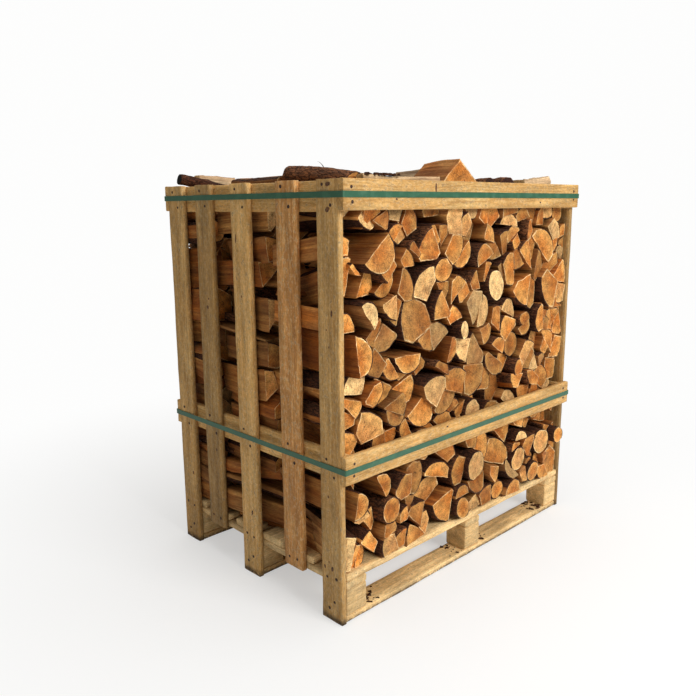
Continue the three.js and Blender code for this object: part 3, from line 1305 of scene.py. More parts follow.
@dataclass
class CrateTimber:
    """All boards of the crate and of its skid base.

    Attributes:
        palette: The crate's materials.
        red_slat: The one slat of redder wood.
        dark_slats: Slats that are made darker than the rest.
        dark: How light those are.
        pale_boards: Base boards of paler wood.
        pale: How light those are.
        usual: How light the other boards are, from the darkest to the palest.
        largest_bow: Millimetres that the middle of an inner slat may stand out sideways.
        base_wear: Width of the worn edges of the base.
        slat_wear: The same of all other boards.
        slat_shade: How much the slats darken towards the floor.
        seed: Picks how light each board is.
    """

    palette: Palette
    red_slat: str = "left_slat_4"
    dark_slats: tuple[str, ...] = ("left_slat_2", "right_slat_3", "right_slat_5")
    dark: float = -0.55
    pale_boards: tuple[str, ...] = ("runner_front", "deck_board_1", "block_front_right")
    pale: float = 1.3
    usual: Pair = (0.1, 0.9)
    largest_bow: float = 2.5
    base_wear: float = 2.2 * MM
    slat_wear: float = 1.3 * MM
    slat_shade: float = 0.5
    seed: int = 5

    def build(self, nodes: Iterable[str]) -> None:
        """Builds a board for every timber node.

        Args:
            nodes: Names of all CAD nodes.
        """
        random = np.random.default_rng(self.seed)
        finishes = {
            Timber.SLAT: self.palette.pale_board,
            Timber.BASE: self.palette.base_board,
            Timber.RED: self.palette.red_board,
        }
        for seed, node in enumerate(sorted(nodes)):
            kind = Timber.of(node, self.red_slat)
            if kind is None:
                continue
            lightness = self.dark if node in self.dark_slats else random.uniform(*self.usual)
            if node in self.pale_boards:
                lightness = self.pale
            bow = 0.0
            if node.endswith(("slat_2", "slat_3", "slat_4")):
                bow = random.uniform(-self.largest_bow, self.largest_bow) * MM
            wear = self.base_wear if kind is Timber.BASE else self.slat_wear
            shade = self.slat_shade if "_slat_" in node else 0.0
            SawnBoard(node, kind.value, finishes[kind], seed, lightness, bow, wear, shade).build()


# -------------------- Flat polygons --------------------


def edges(polygon: Array) -> Iterator[tuple[Array, Array]]:
    """The two ends of each edge of a polygon."""
    return zip(polygon, np.roll(polygon, -1, axis=0))


def cross_terms(polygon: Array) -> Array:
    """Twice the signed area between the origin and each edge of a polygon."""
    following = np.roll(polygon, -1, axis=0)
    return polygon[:, 0] * following[:, 1] - following[:, 0] * polygon[:, 1]


def area(polygon: Array) -> float:
    """The area of a polygon."""
    return 0.5 * abs(cross_terms(polygon).sum())


def centroid(polygon: Array) -> Array:
    """Finds the centre of area of a polygon.

    Args:
        polygon: Its corners.

    Returns:
        The centre.
    """
    cross = cross_terms(polygon)
    if abs(cross.sum()) < 1e-12:
        return polygon.mean(axis=0)
    return ((polygon + np.roll(polygon, -1, axis=0)) * cross[:, None]).sum(axis=0) / (3 * cross.sum())


def clip(polygon: Array, point: Sequence[float], normal: Sequence[float]) -> Array:
    """Keeps the part of a convex polygon that lies behind a line.

    Args:
        polygon: The polygon's corners.
        point: A point on the line.
        normal: The line's normal, which points to the side that is cut off.

    Returns:
        The corners of what is left, or an empty array.
    """
    if len(polygon) == 0:
        return polygon
    side = (polygon - point) @ normal
    kept = []
    for i in range(len(polygon)):
        j = (i + 1) % len(polygon)
        if side[i] <= 0:
            kept.append(polygon[i])
        if side[i] * side[j] < 0:
            kept.append(polygon[i] + (polygon[j] - polygon[i]) * side[i] / (side[i] - side[j]))
    return np.array(kept)


def turning(angle: float) -> Array:
    """The matrix that turns rows of flat points by an angle in radians."""
    return np.array([[math.cos(angle), math.sin(angle)], [-math.sin(angle), math.cos(angle)]])


def pointing(angle: float) -> Array:
    """The flat unit vector at an angle in radians."""
    return np.array([math.cos(angle), math.sin(angle)])


def surround(radius: float, bottom: float = -2) -> Array:
    """A rectangle round a stem, or round its upper half if bottom is 0."""
    return np.array([[-2, bottom], [2, bottom], [2, 2], [-2, 2]]) * radius


# -------------------- Logs --------------------


class LogFace(Enum):
    """The kinds of face that a log has, in the order of its materials."""

    END = 0
    SPLIT = 1
    BARK = 2


@dataclass
class Section:
    """A log's outline across its length, measured from its heart.

    Attributes:
        outline: Outline points, counter-clockwise.
        bark: True where the edge that starts at a point is bark.
        reach: Distance from the heart to the bark.
    """

    outline: Array
    bark: Array
    reach: float

    @classmethod
    def cut(
        cls, polygon: Array, reach: float, step: float, heart: Sequence[float] = (0.0, 0.0)
    ) -> "Section":
        """Cuts a polygon with the round stem that has its heart at a given point.

        Args:
            polygon: A convex polygon, counter-clockwise.
            reach: The stem's radius.
            step: Longest distance between outline points.
            heart: The stem's centre.

        Returns:
            The section, with bark along the arcs.
        """
        points: list[Array] = []
        bark: list[bool] = []
        spans = cls._inside(polygon - heart, reach)
        if not spans:
            count = max(12, round(FULL_TURN * reach / step))
            angles = np.linspace(0, FULL_TURN, count, endpoint=False)
            ring = reach * np.stack([np.cos(angles), np.sin(angles)], axis=1)
            return cls(ring, np.ones(count, bool), reach)
        for index, (begin, end) in enumerate(spans):
            pieces = max(1, math.ceil(np.linalg.norm(end - begin) / step))
            points += [begin + (end - begin) * k / pieces for k in range(pieces)]
            bark += [False] * pieces
            following = spans[(index + 1) % len(spans)][0]
            if np.linalg.norm(following - end) > 0.5 * MM:
                start = math.atan2(end[1], end[0])
                sweep = (math.atan2(following[1], following[0]) - start) % FULL_TURN
                pieces = max(2, math.ceil(sweep * reach / step))
                points += [reach * pointing(start + sweep * k / pieces) for k in range(pieces)]
                bark += [True] * pieces
        return cls(np.array(points), np.array(bark), reach)

    @staticmethod
    def _inside(polygon: Array, reach: float) -> list[tuple[Array, Array]]:
        """Finds the stretches of a polygon's edges that lie inside a circle round the origin.

        Args:
            polygon: Its corners.
            reach: The circle's radius.

        Returns:
            The two ends of each stretch.
        """
        spans = []
        for start, end in edges(polygon):
            along = end - start
            square = along @ along
            half = start @ along
            gap = half * half - square * (start @ start - reach * reach)
            if square < 1e-12 or gap <= 0:
                continue
            enter = max(0.0, (-half - math.sqrt(gap)) / square)
            leave = min(1.0, (-half + math.sqrt(gap)) / square)
            if leave - enter > 1e-6:
                spans.append((start + along * enter, start + along * leave))
        return spans


@dataclass(frozen=True)
class Limits:
    """The room that a log in a row has.

    Attributes:
        side: Largest distance from the crate's middle plane, left or right.
        near: Smallest Y.
        far: Largest Y.
    """

    side: float
    near: float
    far: float

    def hold(self, points: Array) -> Array:
        """Moves points that lie outside back to the nearest limit.

        Args:
            points: The points, which are moved.

        Returns:
            The same points.
        """
        points[:, 0] = np.clip(points[:, 0], -self.side, self.side)
        points[:, 1] = np.clip(points[:, 1], self.near, self.far)
        return points


@dataclass
class SplitLog:
    """One cut and split log, lying along Y round its own origin.

    Attributes:
        section: Its outline.
        length: Its length.
        seed: Picks its grain, wear and colour.
        taper: How much thinner it is at its far end.
        ring_step: Distance between rings of vertices.
        chamfer: How far the edges of the ends are broken.
        fibre: Depth of the torn fibres on split sides.
        bark_depth: Depth of the bark's bumps.
        cut_tilt: How far the saw cuts lean, as slopes.
        bend: How far its middle stands out sideways.
        tone: Lightness and warmth, mostly from 0 to 1, or None for random ones.
    """

    section: Section
    length: float
    seed: int
    taper: float
    ring_step: float = 30 * MM
    chamfer: float = 1.1 * MM
    fibre: float = 1.5 * MM
    bark_depth: float = 1.6 * MM
    cut_tilt: float = 0.09
    bend: float = 3 * MM
    tone: Pair | None = None

    def add_to(self, surface: Surface, place: Matrix, limits: Limits | None = None) -> None:
        """Adds the log's faces to a surface.

        Args:
            surface: Gathers the faces.
            place: Where the log lies.
            limits: What the log must stay clear of.
        """
        random = np.random.default_rng(self.seed)
        count = len(self.section.outline)
        stations = self._stations()
        points, grain = self._rings(stations, random)
        barky = np.tile(self.section.bark | np.roll(self.section.bark, 1), len(stations))
        push = np.where(barky, self._crust(points), self._fibres(points))
        points[:, (0, 2)] += np.tile(self._outward(), (len(stations), 1)) * push[:, None]
        ends = np.stack([points[:count].mean(axis=0), points[-count:].mean(axis=0)])
        grain_ends = np.stack([grain[:count].mean(axis=0), grain[-count:].mean(axis=0)])
        shift = (0.0, random.uniform(0, 60), 0.0)
        light, warm = self.tone or (random.uniform(0, 1), random.uniform(0, 1) ** 1.2)
        tone = (light, warm, self.section.reach)
        first = surface.add_points(self._move(points, place, limits), grain + shift, tone)
        middle = surface.add_points(self._move(ends, place, limits), grain_ends + shift, tone, 0.0)
        kinds = [LogFace.BARK.value if bark else LogFace.SPLIT.value for bark in self.section.bark]
        surface.add_tube(first, len(stations), kinds, LogFace.END.value, middle)

    def _outward(self) -> Array:
        """Finds the outline's outward direction.

        Returns:
            A unit vector for each outline point.
        """
        outline = self.section.outline
        tangent = np.roll(outline, -1, axis=0) - np.roll(outline, 1, axis=0)
        outward = np.stack([tangent[:, 1], -tangent[:, 0]], axis=1)
        return outward / np.maximum(np.linalg.norm(outward, axis=1, keepdims=True), 1e-9)

    def _stations(self) -> list[Pair]:
        """Spreads the rings along the log.

        Returns:
            The place of each ring and how far the log's edge is broken in there.
        """
        half = self.length / 2
        inner = max(2, round(self.length / self.ring_step))
        places = np.linspace(-half + self.chamfer, half - self.chamfer, inner + 1)
        return [(-half, self.chamfer), *((float(y), 0.0) for y in places), (half, self.chamfer)]

    def _rings(self, stations: Sequence[Pair], random: Random) -> tuple[Array, Array]:
        """The tapering outline at every station.

        Args:
            stations: Places along the log and how far the edge steps in.
            random: The log's random numbers.

        Returns:
            Positions, and where they lie in the timber.
        """
        outline = self.section.outline
        middle = outline.mean(axis=0)
        slopes = random.normal(0, self.cut_tilt, (2, 2))
        bend = random.normal(0, self.bend, 2)
        narrow = max(np.ptp(outline, axis=0).min() / 2, 8 * MM)
        rings, grains = [], []
        for y, inset in stations:
            flat = outline + (middle - outline) * inset / narrow
            share = y / self.length
            lean = np.clip(abs(2 * share) - 0.55, 0, 1) / 0.45
            along = y + lean * ((flat - middle) @ slopes[int(y > 0)])
            scaled = flat * (1 - self.taper * (share + 0.5)) + bend * (1 - (2 * share) ** 2)
            rings.append(np.column_stack([scaled[:, 0], along, scaled[:, 1]]))
            grains.append(np.column_stack([flat[:, 0], along, flat[:, 1]]))
        return np.concatenate(rings), np.concatenate(grains)

    def _crust(self, points: Array) -> Array:
        """How far the bark stands out at each point."""
        lumps = Noise(self.seed).fractal(points * (75, 38, 75) + 5.1, 3)
        return self.bark_depth * (lumps - 0.25)

    def _fibres(self, points: Array) -> Array:
        """Tears the fibres of the split sides.

        Args:
            points: The log's vertices.

        Returns:
            How far the fibres stand out at each one.
        """
        noise = Noise(self.seed + 1)
        torn = noise.fractal(points * (110, 7, 110) + self.seed % 97, 3)
        waves = noise.fractal(points * (30, 9, 30) + 11.3, 2)
        return self.fibre * (0.6 * torn + 1.1 * waves - 0.2)

    @staticmethod
    def _move(points: Array, place: Matrix, limits: Limits | None) -> Array:
        """Moves points to where the log lies and keeps them inside the limits."""
        moved = points @ np.array(place.to_3x3()).T + np.array(place.translation)
        return limits.hold(moved) if limits else moved


@dataclass
class StackPattern:
    """Shares a row's face out among logs, as a stack of split pieces does.

    Attributes:
        width: Width of the face.
        bottom: Height of its lower edge.
        top: Height of its upper edge.
        patches: How many patches the face is first shared out among.
        seed: Picks the pattern.
        gap: Air between neighbouring logs.
        cut_share: The share of patches of a usual size that are cut in two.
        usual_area: That usual size.
        size_spread: How unlike in size the patches are.
        neighbours: How many other patches can touch one.
        closeness: How close together patches may lie, as a share of their mean distance.
        yielding: How that share shrinks each time there is no room.
        turn: How far pieces turn, in radians.
        growth: How much larger they become then, at least and at most.
    """

    width: float
    bottom: float
    top: float
    patches: int
    seed: int
    gap: float = 1.6 * MM
    cut_share: float = 0.36
    usual_area: float = 5600 * MM * MM
    size_spread: float = 0.3
    neighbours: int = 25
    closeness: float = 0.84
    yielding: float = 0.9996
    turn: float = 0.09
    growth: Pair = (1.0, 1.07)

    def __post_init__(self) -> None:
        """Starts the pattern's random numbers."""
        self.random = np.random.default_rng(self.seed)

    def pieces(self) -> list[Array]:
        """Shares out the face.

        Returns:
            One convex polygon for each log.
        """
        centres, sizes = self._scatter()
        pieces = []
        for cell in self._cells(centres, sizes):
            pieces += self._cleave(cell)
        return [self._loosen(piece) for piece in pieces]

    def _scatter(self) -> tuple[Array, Array]:
        """Spreads patch centres over the face, none too close to another.

        Returns:
            The centres and the relative size of each patch.
        """
        spacing = self.closeness * math.sqrt(self.width * (self.top - self.bottom) / self.patches)
        sizes = np.clip(np.exp(self.random.normal(0, self.size_spread, self.patches)), 0.6, 1.5)
        sizes = np.sort(sizes)[::-1]
        centres = np.zeros((0, 2))
        while len(centres) < self.patches:
            x = self.random.uniform(-self.width / 2, self.width / 2)
            point = np.array([x, self.random.uniform(self.bottom, self.top)])
            room = spacing * (sizes[: len(centres)] + sizes[len(centres)]) / 2
            if np.all(np.linalg.norm(centres - point, axis=1) > room):
                centres = np.vstack([centres, point])
            else:
                spacing *= self.yielding
        return centres, sizes * spacing

    def _cells(self, centres: Array, sizes: Array) -> list[Array]:
        """Cuts the face up between the centres; a larger size takes more room.

        Args:
            centres: The patches' centres.
            sizes: Their sizes.

        Returns:
            The patch round each centre.
        """
        side = self.width / 2
        face = np.array([[-side, self.bottom], [side, self.bottom], [side, self.top], [-side, self.top]])
        cells = []
        for index, centre in enumerate(centres):
            cell = face
            distance = np.linalg.norm(centres - centre, axis=1)
            for other in np.argsort(distance)[1 : self.neighbours + 1]:
                away = centres[other] - centre
                bias = (sizes[index] ** 2 - sizes[other] ** 2) / (8 * distance[other] ** 2)
                cell = clip(cell, centre + away * (0.5 + bias), away)
            if len(cell) > 2:
                cells.append(cell)
        return cells

    def _cleave(self, cell: Array) -> list[Array]:
        """Cuts some patches in two, most often across.

        Args:
            cell: The patch.

        Returns:
            One or two polygons.
        """
        if self.random.uniform() > self.cut_share * min(1.5, area(cell) / self.usual_area):
            return [cell]
        main = np.linalg.svd(cell - centroid(cell), full_matrices=False)[2][0]
        normal = pointing(math.atan2(main[1], main[0]) + self.random.normal(0, 0.7))
        point = centroid(cell) + normal * self.random.normal(0, 0.08) * math.sqrt(area(cell))
        return [clip(cell, point, normal), clip(cell, point, -normal)]

    def _loosen(self, piece: Array) -> Array:
        """Shrinks a piece by the gap and turns it slightly.

        Args:
            piece: The polygon.

        Returns:
            The new polygon.
        """
        middle = centroid(piece)
        for start, end in edges(piece):
            along = (end - start) / max(np.linalg.norm(end - start), 1e-9)
            normal = np.array([along[1], -along[0]])
            piece = clip(piece, start - normal * self.gap / 2, normal)
            if len(piece) < 3:
                return piece
        turned = (piece - middle) @ turning(self.random.normal(0, self.turn))
        return turned * self.random.uniform(*self.growth) + middle


@dataclass
class StemChooser:
    """Decides how the round stem lay in each piece, and so where its bark is.

    Attributes:
        fullness: Lowest and highest share of a piece's far side that lies outside the bark.
        step: Longest distance between outline points.
        widest: Largest angle between two split sides.
    """

    fullness: Pair = (0.2, 0.6)
    step: float = 8 * MM
    widest: float = math.radians(134)

    def section(self, piece: Array, random: Random, crown: bool) -> tuple[Section, Array]:
        """Chooses a heart for a piece and cuts it with the stem.

        Args:
            piece: The piece's polygon.
            random: The row's random numbers.
            crown: Whether the log lies on top of the row, most often with its bark up.

        Returns:
            The section and the place of its heart.
        """
        hearts = self._hearts(piece)
        middle = centroid(piece)
        weights = np.array([weight for _, weight in hearts])
        if crown:
            low = (middle[1] - np.array([heart[1] for heart, _ in hearts])) / math.sqrt(area(piece))
            weights = weights * (0.1 + np.clip(low, 0, 1))
        heart = hearts[int(random.choice(len(hearts), p=weights / weights.sum()))][0]
        whole = np.linalg.norm(heart - middle) < 1e-9
        if not whole:
            heart = heart + (heart - middle) * random.uniform(0.0, 0.16)
        distances = self._distances(piece, heart)
        share = random.uniform(0.04, 0.2) if whole else random.uniform(*self.fullness)
        reach = max(float(np.quantile(distances, share)), 0.6 * float(distances.max()))
        return Section.cut(piece, reach, self.step, heart), heart

    def _hearts(self, piece: Array) -> list[tuple[Array, float]]:
        """Places where the heart can be, with how likely each one is.

        Args:
            piece: The piece's polygon.

        Returns:
            Corners for quarters, sides for halves and the middle for whole rounds.
        """
        middle = centroid(piece)
        size = math.sqrt(area(piece))
        found = []
        for corner, angle in zip(piece, self._angles(piece)):
            if angle < self.widest:
                found.append((corner, (self.widest + 0.25 - angle) ** 2))
        for start, end in edges(piece):
            share = np.linalg.norm(end - start) / size
            if share > 0.72:
                found.append(((start + end) / 2, 0.55 * share))
        spread = np.linalg.norm(piece - middle, axis=1)
        if spread.max() < 1.5 * spread.min():
            found.append((middle, 0.5))
        return found or [(middle, 1.0)]

    @staticmethod
    def _distances(piece: Array, heart: Array) -> Array:
        """Measures from the heart to the sides that don't pass by it.

        Args:
            piece: The piece's polygon.
            heart: The place of the heart.

        Returns:
            Distances to points all along those sides.
        """
        found = []
        for start, end in edges(piece):
            along = end - start
            length = max(float(np.linalg.norm(along)), 1e-9)
            offset = abs(along[0] * (heart - start)[1] - along[1] * (heart - start)[0]) / length
            if offset > 9 * MM:
                steps = np.linspace(0, 1, max(2, round(length / (3 * MM))))[:, None]
                found.append(np.linalg.norm(start + along * steps - heart, axis=1))
        return np.concatenate(found) if found else np.linalg.norm(piece - heart, axis=1)

    @staticmethod
    def _angles(piece: Array) -> Array:
        """Measures a polygon's corners.

        Args:
            piece: The polygon.

        Returns:
            The inside angle at each corner.
        """
        before = np.roll(piece, 1, axis=0) - piece
        after = np.roll(piece, -1, axis=0) - piece
        cosine = (before * after).sum(axis=1)
        cosine /= np.maximum(np.linalg.norm(before, axis=1) * np.linalg.norm(after, axis=1), 1e-9)
        return np.arccos(np.clip(cosine, -1, 1))


class RowPlace(Enum):
    """Which of the three rows a log lies in."""

    FRONT = "front"
    MIDDLE = "middle"
    BACK = "back"


@dataclass(frozen=True)
class PlacedStem:
    """A round or half-round log with a place of its own in the face of a row.

    Attributes:
        heart: The heart's X and Z.
        radius: The stem's radius.
        split: Direction in degrees of the half that was split off (90 is up), or None.
        near: Y of the near end.
        length: The log's length.
        tone: Lightness and warmth, or None for random ones.
    """

    heart: Pair
    radius: float
    split: float | None = None
    near: float = -0.391
    length: float = 0.24
    tone: Pair | None = None

    @property
    def _removed(self) -> Array:
        """Unit vector towards the half that was split off."""
        return pointing(math.radians(self.split or 0.0))

    def trim(self, piece: Array, gap: float = 1.6 * MM) -> Array:
        """Cuts a neighbour's polygon back so that the stem has its room.

        Args:
            piece: The neighbour's polygon.
            gap: Air between the two.

        Returns:
            What is left of the polygon, which may be nothing.
        """
        heart = np.array(self.heart)
        away = centroid(piece) - heart
        distance = float(np.linalg.norm(away))
        away = away / max(distance, 1e-6)
        facing = float(away @ self._removed) if self.split is not None else 0.0
        reach = self.radius * (math.sqrt(1 - min(facing, 1.0) ** 2) if facing > 0 else 1.0)
        if distance < 0.6 * reach:
            return piece[:0]
        return clip(piece, heart + away * (reach + gap), -away)

    def section(self) -> Section:
        """Draws the stem's slightly uneven outline.

        Returns:
            Its section, round its heart.
        """
        corners = surround(self.radius)
        if self.split is not None:
            corners = clip(corners, (0.0, 0.0), self._removed)
        section = Section.cut(corners, self.radius, 6 * MM)
        around = np.arctan2(section.outline[:, 1], section.outline[:, 0])
        first, second = self.heart[0] * 70, self.heart[1] * 90
        swell = 0.045 * np.sin(2 * around + first) + 0.035 * np.sin(3 * around + second)
        section.outline = section.outline * (0.96 + swell)[:, None]
        return section

    def add_to(self, surface: Surface, seed: int) -> None:
        """Adds the stem's faces to a surface.

        Args:
            surface: Gathers the faces.
            seed: Picks its grain and wear.
        """
        middle = (self.heart[0], self.near + self.length / 2, self.heart[1])
        log = SplitLog(self.section(), self.length, seed, 0.03, tone=self.tone)
        log.add_to(surface, Matrix.Translation(middle))


@dataclass
class LogRow:
    """One of the three rows of stacked logs that fill the crate.

    Attributes:
        place: Which row it is.
        palette: The crate's materials.
        seed: Picks the stack.
        columns: How many pieces the row is joined into, side by side.
        levels: The same, one above the other.
        stems: Logs with places of their own, which the others make room for.
        sticks: Thin rounds that lie in hollows between the others.
        patches: How many patches the row's face is shared out among.
        proud: How far ends may stand out between the front or back boards.
        board_gap: How much farther back the ends behind those boards stay.
        board_bands: Heights between which boards or rails cover the logs.
        rail_side: Room up to the side rails.
        slack: How far inner ends may reach into the room between the rows.
        side_zone: Distance from the middle plane where logs show through the slats.
        crown_depth: How far below the row's top the logs on top of it still reach.
        smallest: Smallest area of a log's end.
        deep_share: The share of logs whose ends lie deep between the others.
        deep_dent: How deep those lie.
        usual_dent: How deep the others lie.
        side_dent: How much deeper front logs lie at the sides, and the most that back ones do.
        front_length: Shortest and longest front log.
        middle_length: The same of a middle log.
        middle_far: Largest Y of a middle log's far end.
        open_turn: How far logs behind the left slats turn and dip, in radians.
        usual_turn: The same of other logs.
        largest_taper: How much thinner a log may be at its far end.
        loose: How stems are chosen for most logs.
        tight: The same where gaps would show daylight.
    """

    place: RowPlace
    palette: Palette
    seed: int
    columns: int
    levels: int
    stems: tuple[PlacedStem, ...] = ()
    sticks: tuple[PlacedStem, ...] = ()
    patches: int = 162
    proud: float = 12 * MM
    board_gap: float = 4 * MM
    board_bands: tuple[Pair, ...] = ((0.389, 0.474), (1.066, 1.2))
    rail_side: float = 511 * MM
    slack: float = 38 * MM
    side_zone: float = 430 * MM
    crown_depth: float = 6 * MM
    smallest: float = 420 * MM * MM
    deep_share: float = 0.12
    deep_dent: Pair = (26 * MM, 62 * MM)
    usual_dent: Pair = (3 * MM, 24 * MM)
    side_dent: float = 12 * MM
    front_length: Pair = (0.25, 0.29)
    middle_length: Pair = (0.22, 0.262)
    middle_far: float = 0.196
    open_turn: Pair = (0.14, 0.075)
    usual_turn: Pair = (0.03, 0.025)
    largest_taper: float = 0.07
    loose: StemChooser = field(default_factory=StemChooser)
    tight: StemChooser = field(default_factory=lambda: StemChooser((0.7, 0.97)))

    def __post_init__(self) -> None:
        """Reads the box of the row's CAD node and starts the row's random numbers."""
        self.node = f"log_row_{self.place.value}"
        self.low, self.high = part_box(self.node)
        self.random = np.random.default_rng(self.seed)

    def build(self) -> None:
        """Builds the row as a few joined pieces."""
        width, height = self.high.x - self.low.x, self.high.z - self.low.z
        pattern = StackPattern(width, self.low.z, self.high.z, self.patches, self.seed)
        surfaces: dict[tuple[int, int], Surface] = {}
        for index, polygon in enumerate(pattern.pieces()):
            piece, banded = self._room(polygon)
            if len(piece) < 3 or area(piece) < self.smallest:
                continue
            middle = centroid(piece)
            column = int((middle[0] - self.low.x) / width * self.columns)
            level = int((middle[1] - self.low.z) / height * self.levels)
            self._lay(surfaces.setdefault((level, column), Surface()), piece, index, banded)
        for number, key in enumerate(sorted(surfaces), start=1):
            self._finish(surfaces[key], f"logs_{number}")
        placed = (*self.stems, *self.sticks)
        if placed:
            surface = Surface()
            for number, stem in enumerate(placed):
                stem.add_to(surface, self.seed * 77 + number)
            self._finish(surface, "stems")

    def _finish(self, surface: Surface, label: str) -> None:
        """Makes a piece of the row out of its faces."""
        piece = surface.to_object(f"{self.place.value}_row_{label}", *self.palette.log)
        fasten(piece, "split_firewood", self.node)

    def _room(self, piece: Array) -> tuple[Array, bool]:
        """Cuts a polygon back from the stems and from the side rails.

        Args:
            piece: The polygon.

        Returns:
            What is left of it, and whether boards cover it.
        """
        for stem in self.stems:
            piece = stem.trim(piece) if len(piece) > 2 else piece
        if len(piece) < 3:
            return piece, False
        bottom, top = piece[:, 1].min(), piece[:, 1].max()
        banded = any(bottom < high and top > low for low, high in self.board_bands)
        if banded:
            for sign in (-1, 1):
                piece = clip(piece, (sign * self.rail_side, 0.0), (sign, 0.0))
        return piece, banded

    def _lay(self, surface: Surface, piece: Array, index: int, banded: bool) -> None:
        """Lays one log in its place in the row.

        Args:
            surface: Gathers the faces.
            piece: The room that the log has.
            index: The log's number.
            banded: Whether boards cover it.
        """
        outer = float(centroid(piece)[0])
        at_side = abs(outer) > self.side_zone
        at_left = at_side and outer < 0
        crown = piece[:, 1].max() > self.high.z - self.crown_depth
        open_side = self.place is RowPlace.BACK or outer > 0
        chooser = self.tight if at_side and open_side else self.loose
        section, heart = chooser.section(piece, self.random, crown)
        near, far = self._ends(banded, at_side)
        spread = self.open_turn if at_left else self.usual_turn
        yaw, dip = (self.random.normal(0, 1) * share for share in spread)
        inward = -math.copysign(abs(math.sin(yaw)) * 0.4 * (far - near), outer) if at_side else 0.0
        turn = Matrix.Rotation(yaw, 4, "Z") @ Matrix.Rotation(dip, 4, "X")
        centre = Matrix.Translation((heart[0] + inward, (near + far) / 2, heart[1]))
        taper = self.random.uniform(0, self.largest_taper)
        log = SplitLog(section, far - near, self.seed * 1000 + index, taper)
        if at_left and self.place is RowPlace.FRONT:
            log.tone = self._spread_tone(index)
        side = self.rail_side if banded else self.high.x
        log.add_to(surface, centre @ turn, Limits(side, *self._reach(banded)))

    @staticmethod
    def _spread_tone(index: int) -> Pair:
        """Lightness from 0.8 to 1.5 and warmth from -0.1 to 0.7, unlike in neighbours."""
        return 0.8 + index * 0.618 % 0.7, index * 0.382 % 0.8 - 0.1

    def _reach(self, banded: bool) -> Pair:
        """Says how far a log may reach.

        Args:
            banded: Whether boards cover the log.

        Returns:
            The nearest and the farthest Y.
        """
        behind_board = self.proud + self.board_gap if banded else 0.0
        near = self.low.y + (behind_board if self.place is RowPlace.FRONT else -self.slack)
        far = self.high.y + (-behind_board if self.place is RowPlace.BACK else self.slack)
        return near, far

    def _ends(self, banded: bool, at_side: bool) -> Pair:
        """Chooses where a log's two ends are.

        Args:
            banded: Whether boards cover the log.
            at_side: Whether it shows through the slats.

        Returns:
            The Y of its near end and of its far end.
        """
        near_limit, far_limit = self._reach(banded)
        deep = self.random.uniform() < self.deep_share
        dent = self.random.uniform(*(self.deep_dent if deep else self.usual_dent))
        if self.place is RowPlace.FRONT:
            near = near_limit + dent + (self.side_dent if at_side else 0.0)
            return near, min(near + self.random.uniform(*self.front_length), far_limit)
        if self.place is RowPlace.BACK:
            far = far_limit - (min(dent, self.side_dent) if at_side else dent)
            return self.low.y + self.random.uniform(-14, 12) * MM, far
        near = self.low.y + self.random.uniform(-34, 14) * MM
        return near, min(near + self.random.uniform(*self.middle_length), self.middle_far)


def front_stems() -> tuple[PlacedStem, ...]:
    """The rounds and halves that catch the eye in the front row.

    Returns:
        The stems, from the top of the stack to its foot.
    """

    def stem(
        x: int, z: int, radius: int, split: float | None = None, near: int = -391, tone: Pair | None = None
    ) -> PlacedStem:
        """One stem, with its sizes in millimetres."""
        return PlacedStem((x * MM, z * MM), radius * MM, split, near * MM, tone=tone)

    return (
        stem(-424, 982, 66, split=125, tone=(0.6, 0.5)),
        stem(40, 925, 54, split=-70, near=-388, tone=(0.5, 0.6)),
        stem(103, 848, 50, near=-384, tone=(1.1, -0.4)),
        stem(-462, 812, 42, split=215, tone=(0.9, -0.1)),
        stem(-62, 732, 29, near=-393, tone=(1.2, -0.4)),
        stem(-502, 719, 58, split=180, near=-393, tone=(0.9, 1.1)),
        stem(-309, 695, 52, split=90, tone=(0.7, 0.3)),
        stem(-132, 683, 42, split=180, tone=(0.5, 0.9)),
        stem(111, 650, 42, split=-120, tone=(0.7, 0.7)),
        stem(-404, 348, 42, split=-150, near=-384),
        stem(265, 322, 32, split=-90, tone=(1.1, 0.0)),
        stem(-504, 322, 44, split=180, tone=(0.7, 0.4)),
        stem(390, 286, 46, near=-393, tone=(0.9, 0.1)),
        stem(471, 294, 30, near=-412, tone=(1.1, 0.2)),
        stem(-374, 276, 38, near=-394, tone=(0.5, 0.8)),
        stem(264, 252, 42, near=-384),
        stem(344, 189, 36, near=-394, tone=(0.8, 0.2)),
        stem(-47, 178, 35),
    )


class LooseShape(Enum):
    """How a loose log was split."""

    ROUND = "round"
    HALF = "half"
    QUARTER = "quarter"
    SLAB = "slab"


